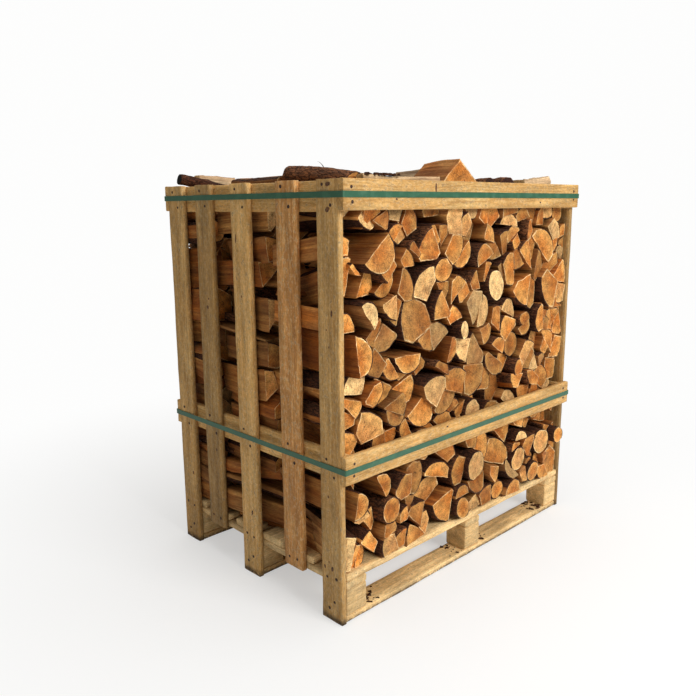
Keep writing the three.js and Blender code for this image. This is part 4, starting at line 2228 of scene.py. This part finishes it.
@dataclass(frozen=True)
class LooseLog:
    """A log that lies on top of the rows, as its CAD solid does.

    Attributes:
        name: The end of its CAD node's name.
        shape: How it was split.
        radius: Distance from its heart to its bark, or half the width of a slab.
        length: Its length.
        at: The centre of its axis.
        turn: Degrees from lying along Y, towards lying along X.
        tip: Degrees that its far end points up.
        thickness: Height of a half or a slab.
        spread: Degrees between the two split sides of a quarter.
        taper: How much thinner it is at its far end.
        bark_top: Whether a slab has bark all over its top.
        barky: Whether its slot is bark rather than split wood.
        tone: Lightness and warmth, mostly from 0 to 1, or None for random ones.
        step: Longest distance between outline points.
        inset: How far a stem stays inside its CAD solid.
    """

    name: str
    shape: LooseShape
    radius: float
    length: float
    at: Place
    turn: float
    tip: float = 0.0
    thickness: float = 0.0
    spread: float = 100.0
    taper: float = 0.06
    bark_top: bool = False
    barky: bool = False
    tone: Pair | None = None
    step: float = 4.5 * MM
    inset: float = 1.2 * MM

    def build(self, palette: Palette, seed: int) -> None:
        """Builds the log.

        Args:
            palette: The crate's materials.
            seed: Picks its grain and wear.
        """
        yaw = Matrix.Rotation(math.radians(-self.turn), 4, "Z")
        place = Matrix.Translation(self.at) @ yaw @ Matrix.Rotation(math.radians(self.tip), 4, "X")
        log = SplitLog(
            self._section(), self.length - 2 * MM, seed, self.taper, ring_step=8 * MM,
            fibre=1.3 * MM, bark_depth=2.2 * MM, cut_tilt=0.05, tone=self.tone,
        )
        surface = Surface()
        log.add_to(surface, place)
        slot = "bark_firewood" if self.barky else "split_firewood"
        fasten(surface.to_object(f"{self.name}_log", *palette.log), slot, f"top_log_{self.name}")

    def _section(self) -> Section:
        """Draws the outline across the log, a little inside its CAD solid.

        Returns:
            The section.
        """
        radius = self.radius - self.inset
        if self.shape is LooseShape.ROUND:
            return Section.cut(surround(radius), radius, self.step)
        if self.shape is LooseShape.HALF:
            section = Section.cut(surround(radius, 0), radius, self.step)
            section.outline[:, 1] *= self.thickness / self.radius
            return section
        if self.shape is LooseShape.QUARTER:
            half = math.radians(self.spread / 2)
            x, z = 2 * radius * math.sin(half), -2 * radius * math.cos(half)
            return Section.cut(np.array([[0, 0], [-x, z], [0, -3 * radius], [x, z]]), radius, self.step)
        corners = [[-0.96, -1], [0.92, -0.9], [1, 0.3], [0.8, 1], [-0.84, 0.86], [-1, -0.2]]
        slab = np.array(corners) * (self.radius, self.thickness / 2)
        heart = np.array([0.1 * self.radius, -self.radius * 1.1])
        reach = float(np.linalg.norm(slab - heart, axis=1).max()) * 0.985
        if self.bark_top:
            reach = self.thickness / 2 - float(heart[1])
        section = Section.cut(slab, reach, self.step, heart)
        section.outline = section.outline + heart
        return section


def loose_logs() -> list[LooseLog]:
    """The logs that lie loose on top of the rows.

    Returns:
        The logs, front row first and each row from left to right.
    """

    def lay(
        name: str,
        shape: LooseShape,
        radius: float,
        length: float,
        at: Sequence[float],
        turn: float = 0.0,
        thickness: float = 0.0,
        **more: object,
    ) -> LooseLog:
        """One log.

        Args:
            name: The end of its CAD node's name.
            shape: How it was split.
            radius: Its radius in millimetres.
            length: Its length in millimetres.
            at: The centre of its axis in millimetres.
            turn: Degrees from lying along Y.
            thickness: Height of a half or a slab in millimetres.
            more: Its other fields.

        Returns:
            The log.
        """
        place = tuple(value * MM for value in at)
        return LooseLog(
            name, shape, radius * MM, length * MM, place, turn, thickness=thickness * MM, **more
        )

    whole, half, quarter, slab = LooseShape
    bark = {"barky": True}
    crust = {"barky": True, "bark_top": True}
    return [
        lay("near_corner", whole, 33, 246, (-456, -219, 1151), tip=6, tone=(0.5, 0.9), **bark),
        lay("front_slab", slab, 15, 296, (-312, -362, 1134), 90, 60, tone=(0.8, -0.6)),
        lay("big_wedge", quarter, 108, 246, (24, -227, 1215), 25, spread=82, tone=(0.9, 0.42)),
        lay("thin_half", half, 32, 210, (144, -252, 1104), 22, 64, tone=(0.6, 0.9)),
        lay("small_half", half, 42, 234, (233, -242, 1104), 20, 68, tone=(0.9, 1.0), **bark),
        lay("right_slab", slab, 38, 156, (363, -322, 1145), 90, 56, tip=5.5, tone=(0.9, -0.7)),
        lay("dark_slab", slab, 42, 226, (-452, 25, 1140), 2, 62, tone=(0.1, 0.3), **crust),
        lay("middle_round", whole, 34, 246, (-262, 62, 1142), -5, tip=1, **bark),
        lay("middle_half", half, 54, 240, (-80, 58, 1105), 6, 58),
        lay("grey_wedge", quarter, 98, 240, (196, 52, 1205), 27, spread=96, tone=(0.0, -0.6), **bark),
        lay("middle_quarter", quarter, 70, 236, (400, 58, 1176), 8, spread=92),
        # Its lightness of -1.6 is painted shade, which makes the back corner log's end face nearly black.
        lay("back_corner", whole, 18, 196, (-438, 336, 1153), 90, tip=-10, taper=0.1,
            tone=(-1.6, 0.1), **bark),
        lay("back_strip", slab, 18, 140, (-379, 375, 1168), 90, 30, tip=-2, tone=(1.1, -1.2)),
        lay("back_slab", slab, 44, 160, (-206, 280, 1134), 10, 58),
        lay("back_half", half, 48, 164, (52, 287, 1104), -5, 64, **bark),
        lay("back_quarter", quarter, 74, 160, (330, 285, 1181), -6, spread=94),
    ]


@dataclass
class LooseLogs:
    """All the logs that lie loose on top of the rows.

    Attributes:
        palette: The crate's materials.
        seed: Picks their grain.
    """

    palette: Palette
    seed: int = 41

    def build(self) -> None:
        """Builds every loose log."""
        for index, log in enumerate(loose_logs()):
            log.build(self.palette, self.seed + index)


# -------------------- Straps, knots, nails and crumbs --------------------


@dataclass
class Strap:
    """A plastic band pulled tight round slats and boards, with a welded overlap at the back.

    Attributes:
        level: The end of its CAD node's name.
        palette: The crate's materials.
        thickness: The band's thickness.
        soft: How far its edges are rounded.
        bend: Inside radius at the corners.
        bend_steps: Steps round each corner.
        run_step: Longest step along a straight run.
        weld: The overlap's two ends along X.
        weld_gap: Air under the overlap.
        weld_share: The overlap's thickness as a share of the band's.
    """

    level: str
    palette: Palette
    thickness: float = 0.9 * MM
    soft: float = 0.2 * MM
    bend: float = 2.2 * MM
    bend_steps: int = 6
    run_step: float = 30 * MM
    weld: Pair = (-0.42, -0.33)
    weld_gap: float = 0.05 * MM
    weld_share: float = 0.8

    def build(self) -> None:
        """Builds the band and its overlap as one piece."""
        node = f"strap_{self.level}"
        low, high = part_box(node)
        half = Vector((high.x - self.thickness, high.y - self.thickness, 0))
        route, normals = self._route(half.x, half.y)
        length = np.concatenate([[0.0], np.cumsum(np.linalg.norm(np.diff(route, axis=0), axis=1))])
        surface = Surface()
        heights = (low.z, high.z)
        self._band(surface, route, normals, length, heights, self.thickness)
        weld = (route[:, 1] > half.y - 1e-6) & (route[:, 0] > self.weld[0]) & (route[:, 0] < self.weld[1])
        over = route[weld] + normals[weld] * (self.thickness + self.weld_gap)
        thin = self.weld_share * self.thickness
        self._band(surface, over, normals[weld], length[weld], heights, thin, closed=False)
        fasten(surface.to_object(f"{node}_band", self.palette.strap), "green_strap", node)

    def _route(self, half_x: float, half_y: float) -> tuple[Array, Array]:
        """Lays the band's inside line round the crate.

        Args:
            half_x: Half the room inside the band along X.
            half_y: The same along Y.

        Returns:
            Points counter-clockwise, and the way out at each one.
        """
        bends: list[tuple[Array, Array]] = []
        for sign_x, sign_y, start in ((1, 1, 0), (-1, 1, 90), (-1, -1, 180), (1, -1, 270)):
            centre = np.array([sign_x * (half_x - self.bend), sign_y * (half_y - self.bend)])
            for step in range(self.bend_steps + 1):
                normal = pointing(math.radians(start + 90 * step / self.bend_steps))
                bends.append((centre + self.bend * normal, normal))
        points, normals = [], []
        for (point, normal), (after, _) in zip(bends, bends[1:] + bends[:1]):
            pieces = max(1, math.ceil(math.dist(point, after) / self.run_step))
            points += [point + (after - point) * k / pieces for k in range(pieces)]
            normals += [normal] * pieces
        return np.array(points), np.array(normals)

    def _band(
        self,
        surface: Surface,
        route: Array,
        normals: Array,
        length: Array,
        heights: Pair,
        thickness: float,
        closed: bool = True,
    ) -> None:
        """Adds a flat band along a route.

        Args:
            surface: Gathers the faces.
            route: Points of the band's inside line.
            normals: The way out at each point.
            length: Distance along the band at each point.
            heights: Heights of its lower and its upper edge.
            thickness: Its thickness.
            closed: Whether it runs all the way round.
        """
        bottom, top = heights
        inner = thickness - self.soft
        rising = [(inner, top), (thickness, top - self.soft), (thickness, (bottom + top) / 2)]
        rising += [(thickness, bottom + self.soft), (inner, bottom), (self.soft, bottom)]
        profile = np.array([(0, top - self.soft), (self.soft, top), *rising, (0, bottom + self.soft)])
        rings, around = len(route), len(profile)
        points = np.zeros((rings, around, 3))
        points[:, :, :2] = route[:, None] + normals[:, None] * profile[:, :1]
        points[:, :, 2] = profile[:, 1]
        grain = np.zeros((rings, around, 3))
        grain[:, :, 0] = profile[:, 1]
        grain[:, :, 1] = length[:, None]
        grain[:, :, 2] = profile[:, 0]
        first = surface.add_points(points.reshape(-1, 3), grain.reshape(-1, 3))
        surface.add_loft(first, around, rings, closed)


@dataclass
class SmallParts:
    """Small parts all over the crate, each kind with random numbers of its own.

    Attributes:
        palette: The crate's materials.
        seed: Picks where they sit and how unlike they are.
    """

    palette: Palette
    seed: int

    def __post_init__(self) -> None:
        """Starts the random numbers."""
        self.random = np.random.default_rng(self.seed)


@dataclass(frozen=True)
class Knot:
    """A dark knot or nick in a board.

    Attributes:
        out: The way the board's face looks.
        at: The knot's centre.
        wide: Its width.
        tall: Its height.
    """

    out: tuple[int, int, int]
    at: Place
    wide: float
    tall: float


@dataclass
class KnotMarks(SmallParts):
    """Knots and nicks that show in the boards, each a low dark lens set in the face.

    Attributes:
        proud: How far a knot stands out.
        deep: How far it reaches into the board.
        sides: Corners of its outline.
        extra: How many more knots are scattered over the slats.
    """

    proud: float = 0.5 * MM
    deep: float = 1.5 * MM
    sides: int = 18
    extra: int = 26

    def build(self) -> None:
        """Builds all knots as one piece."""
        surface = Surface()
        for knot in [*self._chosen(), *self._scattered()]:
            self._lens(surface, knot)
        fasten(surface.to_object("board_knots", self.palette.knot), "slat_wood")

    @staticmethod
    def _chosen() -> list[Knot]:
        """The knots that stand out most.

        Returns:
            Two on the front top board, four on the fifth slat on the left and one on the third.
        """
        low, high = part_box("front_top_board")
        knots = [
            Knot((0, -1, 0), (-0.21, low.y, high.z - 18 * MM), 8 * MM, 21 * MM),
            Knot((0, -1, 0), (0.31, low.y, low.z + 17 * MM), 9 * MM, 6 * MM),
        ]
        for slat, aside, height, wide, tall in (
            (5, -4, 1.137, 15, 12),
            (5, -2, 1.078, 16, 12),
            (5, -12, 0.83, 7, 16),
            (5, 9, 0.35, 6, 8),
            (3, 18, 1.0, 5, 22),
        ):
            low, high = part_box(f"left_slat_{slat}")
            at = (low.x, (low.y + high.y) / 2 + aside * MM, height)
            knots.append(Knot((-1, 0, 0), at, wide * MM, tall * MM))
        return knots

    def _scattered(self) -> list[Knot]:
        """Knots at random places on the slats and boards.

        Returns:
            The knots.
        """
        faces = [
            (f"{side}_slat_{number}", (way, 0, 0))
            for side, way in (("left", -1), ("right", 1))
            for number in range(1, 6)
        ]
        faces += [
            (f"{face}_{level}_board", (0, way, 0))
            for face, way in (("front", -1), ("back", 1))
            for level in ("top", "middle")
        ]
        knots = []
        random = self.random
        for _ in range(self.extra):
            node, out = faces[int(random.integers(len(faces)))]
            low, high = (np.array(corner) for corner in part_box(node))
            at = low + (high - low) * random.uniform(0.12, 0.88, 3)
            axis = 0 if out[0] else 1
            at[axis] = high[axis] if out[axis] > 0 else low[axis]
            size = random.uniform(3, 8) * MM
            stretch = random.uniform(1.0, 2.2)
            wide, tall = (size, size * stretch) if axis == 0 else (size * stretch, size)
            knots.append(Knot(out, tuple(at), wide, tall))
        return knots

    def _lens(self, surface: Surface, knot: Knot) -> None:
        """Adds one knot.

        Args:
            surface: Gathers the faces.
            knot: Where and how large it is.
        """
        out = np.array(knot.out, float)
        upward = np.array((0.0, 0.0, 1.0))
        turn = np.arange(self.sides) * FULL_TURN / self.sides
        swell = 0.14 * np.sin(2 * turn + self.random.uniform(0, 6))
        uneven = 1 + swell + self.random.normal(0, 0.04, self.sides)
        rim = np.outer(np.cos(turn) * uneven * knot.wide / 2, np.cross(upward, out))
        rim += np.outer(np.sin(turn) * uneven * knot.tall / 2, upward)
        levels = ((1.0, -self.deep), (1.0, 0.0), (0.7, 0.7 * self.proud), (0.3, self.proud))
        points = np.concatenate([np.array(knot.at) + rim * share + out * height for share, height in levels])
        local = points - np.array(knot.at) + self.random.uniform(0, 40)
        surface.add_loft(surface.add_points(points, local), self.sides, len(levels))


@dataclass
class Twig:
    """A thin bent twig that still grows out of a barked log.

    Attributes:
        palette: The crate's materials.
        foot: Where it leaves the bark.
        reach: How far its tip stands from its foot, along each axis.
        arch: How far its middle stands up.
        thickness: Its thickness at the foot.
        sides: Corners of its outline.
        joints: How many straight stretches it has.
    """

    palette: Palette
    foot: Place = (-0.456, -0.236, 1.176)
    reach: Place = (-0.016, 0.012, 0.022)
    arch: float = 4 * MM
    thickness: float = 2.6 * MM
    sides: int = 8
    joints: int = 7

    def build(self) -> None:
        """Builds the twig."""
        turn = -np.arange(self.sides) * FULL_TURN / self.sides
        outline = np.column_stack([np.cos(turn), np.sin(turn), np.zeros(self.sides)])
        rings = []
        for joint in range(self.joints + 1):
            share = joint / self.joints
            centre = np.array(self.foot) + np.array(self.reach) * share
            centre[2] += self.arch * math.sin(math.pi * share)
            swell = 1.25 if joint % 3 == 2 else 1.0
            rings.append(centre + outline * self.thickness / 2 * (1 - 0.7 * share) * swell)
        points = np.concatenate(rings)
        middles = np.array([rings[0].mean(axis=0), rings[-1].mean(axis=0)])
        tone = (0.5, 0.2, 1.0)
        surface = Surface()
        first = surface.add_points(points, points, tone)
        middle = surface.add_points(middles, middles, tone)
        surface.add_tube(first, len(rings), [0] * self.sides, 0, middle)
        fasten(surface.to_object("log_twig", self.palette.bark), "bark_firewood")


@dataclass
class NailHeads(SmallParts):
    """The round heads of the wire nails that hold the boards.

    Attributes:
        radius: Radius of a head.
        height: How far a head stands out.
        deep: How far its shank reaches into the board.
        sides: Corners of its outline.
        scatter: How far nails sit from where they were meant to be.
        lean: How far they lean, as a slope.
        rail_inset: How far nails stay from a rail's edges and below the deck.
        rail_pair: Half the distance between two nails on a rail, along Y.
        deck_pair: The same beside the deck.
        foot_pair: The same at a slat's foot, along Y and Z.
        foot_height: Middle height of the nails at its foot.
        face_inset: How far nails stay from the lower and upper edges of the front and back boards.
        end_inset: How far they stay from those boards' ends.
        runner_spread: How far the runners' nails sit from a block's middle, along X and Y.
        runner_rise: How far above the floor they sit.
    """

    radius: float = 4.2 * MM
    height: float = 0.5 * MM
    deep: float = 6 * MM
    sides: int = 14
    scatter: float = 2.0 * MM
    lean: float = 0.06
    rail_inset: float = 14 * MM
    rail_pair: float = 14 * MM
    deck_pair: float = 18 * MM
    foot_pair: float = 12 * MM
    foot_height: float = 46 * MM
    face_inset: Pair = (22 * MM, 20 * MM)
    end_inset: float = 31 * MM
    runner_spread: Pair = (18 * MM, 16 * MM)
    runner_rise: float = 1.3 * MM

    def build(self) -> None:
        """Builds the nails of each side of the crate as one piece."""
        for side, sign in (("left", -1), ("right", 1)):
            self._piece(f"{side}_side_nails", self._side_spots(side, sign), (sign, 0, 0))
        for face, sign in (("front", -1), ("back", 1)):
            self._piece(f"{face}_board_nails", self._face_spots(face, sign), (0, sign, 0))
        self._piece("runner_nails", self._runner_spots(), (0, 0, -1))

    def _side_spots(self, side: str, sign: int) -> list[Vector]:
        """Two nails where each slat crosses a rail, and two or four at its foot.

        Args:
            side: Left or right.
            sign: -1 on the left and 1 on the right.

        Returns:
            The nails' places.
        """
        spots = []
        rails = [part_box(f"{side}_{level}_rail") for level in ("top", "middle")]
        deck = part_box("deck_board_1")[1].z
        for number in range(1, 6):
            low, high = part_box(f"{side}_slat_{number}")
            x = high.x if sign > 0 else low.x
            middle = (low.y + high.y) / 2
            for rail_low, rail_high in rails:
                spread = (rail_high.z - rail_low.z) / 2 - self.rail_inset
                centre = (rail_low.z + rail_high.z) / 2
                for step in (-1, 1):
                    spots.append(Vector((x, middle + step * self.rail_pair, centre + step * spread)))
            for step in (-1, 1):
                spots.append(Vector((x, middle + step * self.deck_pair, deck - self.rail_inset)))
                if low.z < 10 * MM:
                    height = self.foot_height + step * self.foot_pair
                    spots.append(Vector((x, middle - step * self.foot_pair, height)))
        return spots

    def _face_spots(self, face: str, sign: int) -> list[Vector]:
        """Two nails at each end of the front or back boards, into the corner slats.

        Args:
            face: Front or back.
            sign: -1 at the front and 1 at the back.

        Returns:
            The nails' places.
        """
        spots = []
        above, below = self.face_inset
        for level in ("top", "middle"):
            low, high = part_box(f"{face}_{level}_board")
            y = high.y if sign > 0 else low.y
            for end in (-1, 1):
                for height in (low.z + above, high.z - below):
                    spots.append(Vector((end * (high.x - self.end_inset), y, height)))
        return spots

    def _runner_spots(self) -> list[Vector]:
        """Two nails up through each runner into each block.

        Returns:
            The nails' places.
        """
        spots = []
        for row in RowPlace:
            for low, high in block_boxes(row):
                for step in (-1, 1):
                    x = (low.x + high.x) / 2 + step * self.runner_spread[0]
                    y = (low.y + high.y) / 2 + step * self.runner_spread[1]
                    spots.append(Vector((x, y, self.runner_rise)))
        return spots

    def _piece(self, name: str, spots: Sequence[Vector], way: Sequence[int]) -> None:
        """Joins the heads of one side into a piece.

        Args:
            name: The piece's name.
            spots: Place of each nail.
            way: The way out of the boards.
        """
        surface = Surface()
        out = Vector(way)
        random = self.random
        for place in spots:
            jitter = Vector(random.normal(0, self.scatter, 3))
            jitter -= out * jitter.dot(out)
            lean = out + Vector(random.normal(0, self.lean, 3))
            radius = random.uniform(0.85, 1.15) * self.radius
            self._head(surface, place + jitter, lean.normalized(), radius)
        fasten(surface.to_object(name, self.palette.nail), "nail_steel")

    def _head(self, surface: Surface, place: Vector, out: Vector, radius: float) -> None:
        """Adds one domed head with its shank's start.

        Args:
            surface: Gathers the faces.
            place: Where the head meets the board.
            out: The nail's own direction.
            radius: The head's radius.
        """
        turn = out.to_track_quat("Z", "Y").to_matrix()
        shank = ((0.3, -self.deep), (0.3, -1.2 * MM))
        rings = (*shank, (1.0, -0.4 * MM), (1.0, 0.6 * self.height), (0.82, self.height))
        points = []
        for share, height in rings:
            for i in range(self.sides):
                angle = FULL_TURN * i / self.sides
                across, up = share * radius * math.cos(angle), share * radius * math.sin(angle)
                points.append(tuple(place + turn @ Vector((across, up, height))))
        block = np.array(points)
        surface.add_loft(surface.add_points(block, block), self.sides, len(rings))


def block_boxes(row: RowPlace) -> list[Box]:
    """The boxes of the three blocks on one runner, from left to right."""
    return [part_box(f"block_{row.value}_{column}") for column in ("left", "middle", "right")]


@dataclass
class BarkCrumbs(SmallParts):
    """Bits of bark that fell on the runners, and scraps of it on the front slab.

    Attributes:
        count: How many bits lie on each runner.
        scraps: How many larger scraps lie on the front slab.
        scrap_scale: How much larger those are.
        sides: Corners of a bit's outline.
        largest: Largest radius of a bit or scrap.
        drift: How far from a block most bits lie.
        block_gap: How far they stay from it.
    """

    count: int = 96
    scraps: int = 34
    scrap_scale: float = 2.4
    sides: int = 7
    largest: float = 11 * MM
    drift: float = 28 * MM
    block_gap: float = 3 * MM

    def build(self) -> None:
        """Builds the crumbs of each runner as one piece, and then the scraps."""
        for row in RowPlace:
            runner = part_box(f"runner_{row.value}")
            surface = Surface()
            for _ in range(self.count):
                self._crumb(surface, self._spot(runner, block_boxes(row)))
            fasten(surface.to_object(f"{row.value}_runner_crumbs", self.palette.bark), "bark_firewood")
        low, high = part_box("top_log_front_slab")
        surface = Surface()
        for _ in range(self.scraps):
            x = low.x + self.random.uniform(0.02, 0.45) * (high.x - low.x)
            place = Vector((x, self.random.uniform(low.y, high.y), high.z - 4 * MM))
            self._crumb(surface, place, self.scrap_scale)
        fasten(surface.to_object("front_slab_bark", self.palette.bark), "bark_firewood")

    def _spot(self, runner: Box, blocks: Sequence[Box]) -> Vector:
        """Chooses a place on a runner, most often close to a block.

        Args:
            runner: The runner's corners.
            blocks: The corners of its blocks.

        Returns:
            The place.
        """
        random = self.random
        low, high = runner
        block_low, block_high = blocks[int(random.integers(len(blocks)))]
        away = abs(random.normal(0, self.drift)) + self.block_gap
        x = block_high.x + away if random.uniform() < 0.5 else block_low.x - away
        if not low.x + 4 * MM < x < high.x - 4 * MM:
            beside = (block_high.x + 5 * MM, block_high.x + 60 * MM)
            x = random.uniform(*beside) if x < 0 else block_low.x - away
        return Vector((x, random.uniform(low.y + 6 * MM, high.y - 6 * MM), high.z))

    def _crumb(self, surface: Surface, place: Vector, scale: float = 1.0) -> None:
        """Adds one angular bit of bark that lies flat.

        Args:
            surface: Gathers the faces.
            place: Where it lies.
            scale: How much larger than a crumb it is.
        """
        random = self.random
        size = min(random.gamma(2.6, 2.0 * MM) + 1.2 * MM, self.largest / scale) * scale
        angles = np.sort(random.uniform(0, FULL_TURN, self.sides))
        stretch = random.uniform(0.5, 1.0)
        height = size * random.uniform(0.25, 0.6)
        rim = np.stack([np.cos(angles), np.sin(angles) * stretch], axis=1) * size * 0.9
        rim = rim @ turning(random.uniform(0, math.pi)) * random.uniform(0.75, 1.1, (self.sides, 1))
        lower = np.column_stack([rim, np.zeros(self.sides)])
        upper = np.column_stack([rim * 0.7, height * random.uniform(0.6, 1.0, self.sides)])
        block = np.concatenate([lower, upper, [[0, 0, height]]]) + np.array(place)
        surface.add_loft(surface.add_points(block, block), self.sides, 2, peak=True)


# -------------------- Studio --------------------


@dataclass(frozen=True)
class SoftLight:
    """A large soft lamp.

    Attributes:
        name: Its name.
        place: Where it hangs.
        aim: What it points at.
        size: Width and height of its face.
        power: Its power in watts.
    """

    name: str
    place: Place
    aim: Place
    size: Pair
    power: float

    def build(self) -> None:
        """Hangs the lamp."""
        lamp = bpy.data.lights.new(self.name, "AREA")
        lamp.shape = "RECTANGLE"
        lamp.size, lamp.size_y = self.size
        lamp.energy = self.power
        holder = bpy.data.objects.new(self.name, lamp)
        holder.location = self.place
        way = Vector(self.aim) - Vector(self.place)
        holder.rotation_euler = way.to_track_quat("-Z", "Y").to_euler()
        bpy.context.scene.collection.objects.link(holder)


@dataclass
class Studio:
    """The plain pale floor, the lights and the camera.

    Attributes:
        eye: Where the camera stands.
        heading: Degrees that it looks to the right of straight back.
        pitch: Degrees that it looks down.
        roll: Degrees that it leans.
        lens: Focal length in millimetres.
        sensor: Width of the camera's sensor in millimetres.
        floor_size: Width of the floor.
        paleness: Colour of the surroundings.
        glow: Distances between which the floor fades into them, and its share of them there; the share
            beside the crate is painted light over its shadows.
        floor_colour: The floor's own colour.
        fill: Strength of the light from all round.
        fill_colour: Colour of that light.
        lights: The lamps.
    """

    eye: Place = (-1.7004, -1.5951, 1.0836)
    heading: float = 44.15
    pitch: float = 11.33
    roll: float = -0.49
    lens: float = 36.43
    sensor: float = 36.0
    floor_size: float = 30.0
    paleness: Colour = (0.985, 0.985, 0.98)
    glow: tuple[float, float, Pair] = (0.2, 2.2, (0.45, 1.0))
    floor_colour: Colour = (0.9, 0.9, 0.89)
    fill: float = 0.31
    fill_colour: Colour = (1.0, 0.97, 0.92)
    lights: tuple[SoftLight, ...] = (
        SoftLight("key_light", (0.1, -4.6, 2.9), (0, 0, 0.6), (2.4, 1.6), 186.0),
        SoftLight("top_light", (0.3, -0.3, 4.4), (0, 0, 0.5), (3.6, 3.6), 105.0),
    )

    def build(self) -> None:
        """Sets up camera, floor, world and lights."""
        scene = bpy.context.scene
        scene.view_settings.view_transform = "Standard"
        self._camera(scene)
        self._floor(scene)
        self._world(scene)
        for light in self.lights:
            light.build()

    def _camera(self, scene: bpy.types.Scene) -> None:
        """Places the camera.

        Args:
            scene: The scene that gets it.
        """
        camera = bpy.data.cameras.new("camera")
        camera.lens = self.lens
        camera.sensor_width = self.sensor
        camera.clip_end = 100.0
        heading, pitch, roll = (math.radians(v) for v in (self.heading, self.pitch, self.roll))
        flat = math.cos(pitch)
        ahead = Vector((math.sin(heading) * flat, math.cos(heading) * flat, -math.sin(pitch)))
        level = Vector((math.cos(heading), -math.sin(heading), 0.0))
        upright = level.cross(ahead)
        right = math.cos(roll) * level + math.sin(roll) * upright
        up = math.cos(roll) * upright - math.sin(roll) * level
        holder = bpy.data.objects.new("camera", camera)
        turn = Matrix((right, up, -ahead)).transposed().to_4x4()
        holder.matrix_world = Matrix.Translation(self.eye) @ turn
        scene.collection.objects.link(holder)
        scene.camera = holder

    def _floor(self, scene: bpy.types.Scene) -> None:
        """Lays the floor, which glows for the camera: in part beside the crate, where this paints light over
        the crate's shadows, and fully far away, where it fades into the pale surroundings.

        Args:
            scene: The scene that gets it.
        """
        half = self.floor_size / 2
        corners = [(-half, -half, 0), (half, -half, 0), (half, half, 0), (-half, half, 0)]
        mesh = bpy.data.meshes.new("floor")
        mesh.from_pydata(corners, [], [(0, 1, 2, 3)])
        floor = bpy.data.objects.new("floor", mesh)
        scene.collection.objects.link(floor)
        material = bpy.data.materials.new("pale_floor")
        material.use_nodes = True
        nodes = Nodes(material.node_tree)
        matte = nodes.fill(nodes.add("BsdfDiffuse"), Color=self.floor_colour)
        pale = nodes.fill(nodes.add("Emission"), Color=self.paleness)
        place = nodes.add("NewGeometry").outputs["Position"]
        distance = nodes.vector("LENGTH", nodes.scaled(place, 1.0, 1.0, 0.0))
        seen = nodes.add("LightPath").outputs["Is Camera Ray"]
        # The camera sees the floor glow even beside the crate: painted light over the shadows there.
        share = nodes.times(nodes.span(distance, *self.glow), seen)
        nodes.finish(nodes.add("OutputMaterial"), share, matte, pale)
        mesh.materials.append(material)

    def _world(self, scene: bpy.types.Scene) -> None:
        """Makes the surroundings pale to the eye and dimmer as a light.

        Args:
            scene: The scene that gets them.
        """
        world = bpy.data.worlds.new("surroundings")
        world.use_nodes = True
        nodes = Nodes(world.node_tree)
        pale = nodes.fill(nodes.add("Background"), Color=self.paleness)
        soft = nodes.fill(nodes.add("Background"), Color=self.fill_colour, Strength=self.fill)
        seen = nodes.add("LightPath").outputs["Is Camera Ray"]
        nodes.finish(nodes.add("OutputWorld"), seen, soft, pale)
        scene.world = world


def main() -> None:
    """Loads the frame, builds every piece and sets up the studio."""
    logging.basicConfig(level=logging.INFO, format="%(name)s: %(message)s")
    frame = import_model()
    Studio().build()
    palette = Palette()
    CrateTimber(palette).build(frame["nodes"])
    LogRow(RowPlace.FRONT, palette, seed=3, columns=4, levels=3, stems=front_stems()).build()
    LogRow(RowPlace.MIDDLE, palette, seed=4, columns=2, levels=2).build()
    stick = PlacedStem((-0.498, 0.343), 15 * MM, near=142 * MM, length=230 * MM)
    LogRow(RowPlace.BACK, palette, seed=5, columns=3, levels=3, sticks=(stick,)).build()
    LooseLogs(palette).build()
    for level in ("upper", "lower"):
        Strap(level, palette).build()
    NailHeads(palette, seed=7).build()
    KnotMarks(palette, seed=23).build()
    Twig(palette).build()
    BarkCrumbs(palette, seed=19).build()
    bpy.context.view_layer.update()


if __name__ == "__main__":
    main()
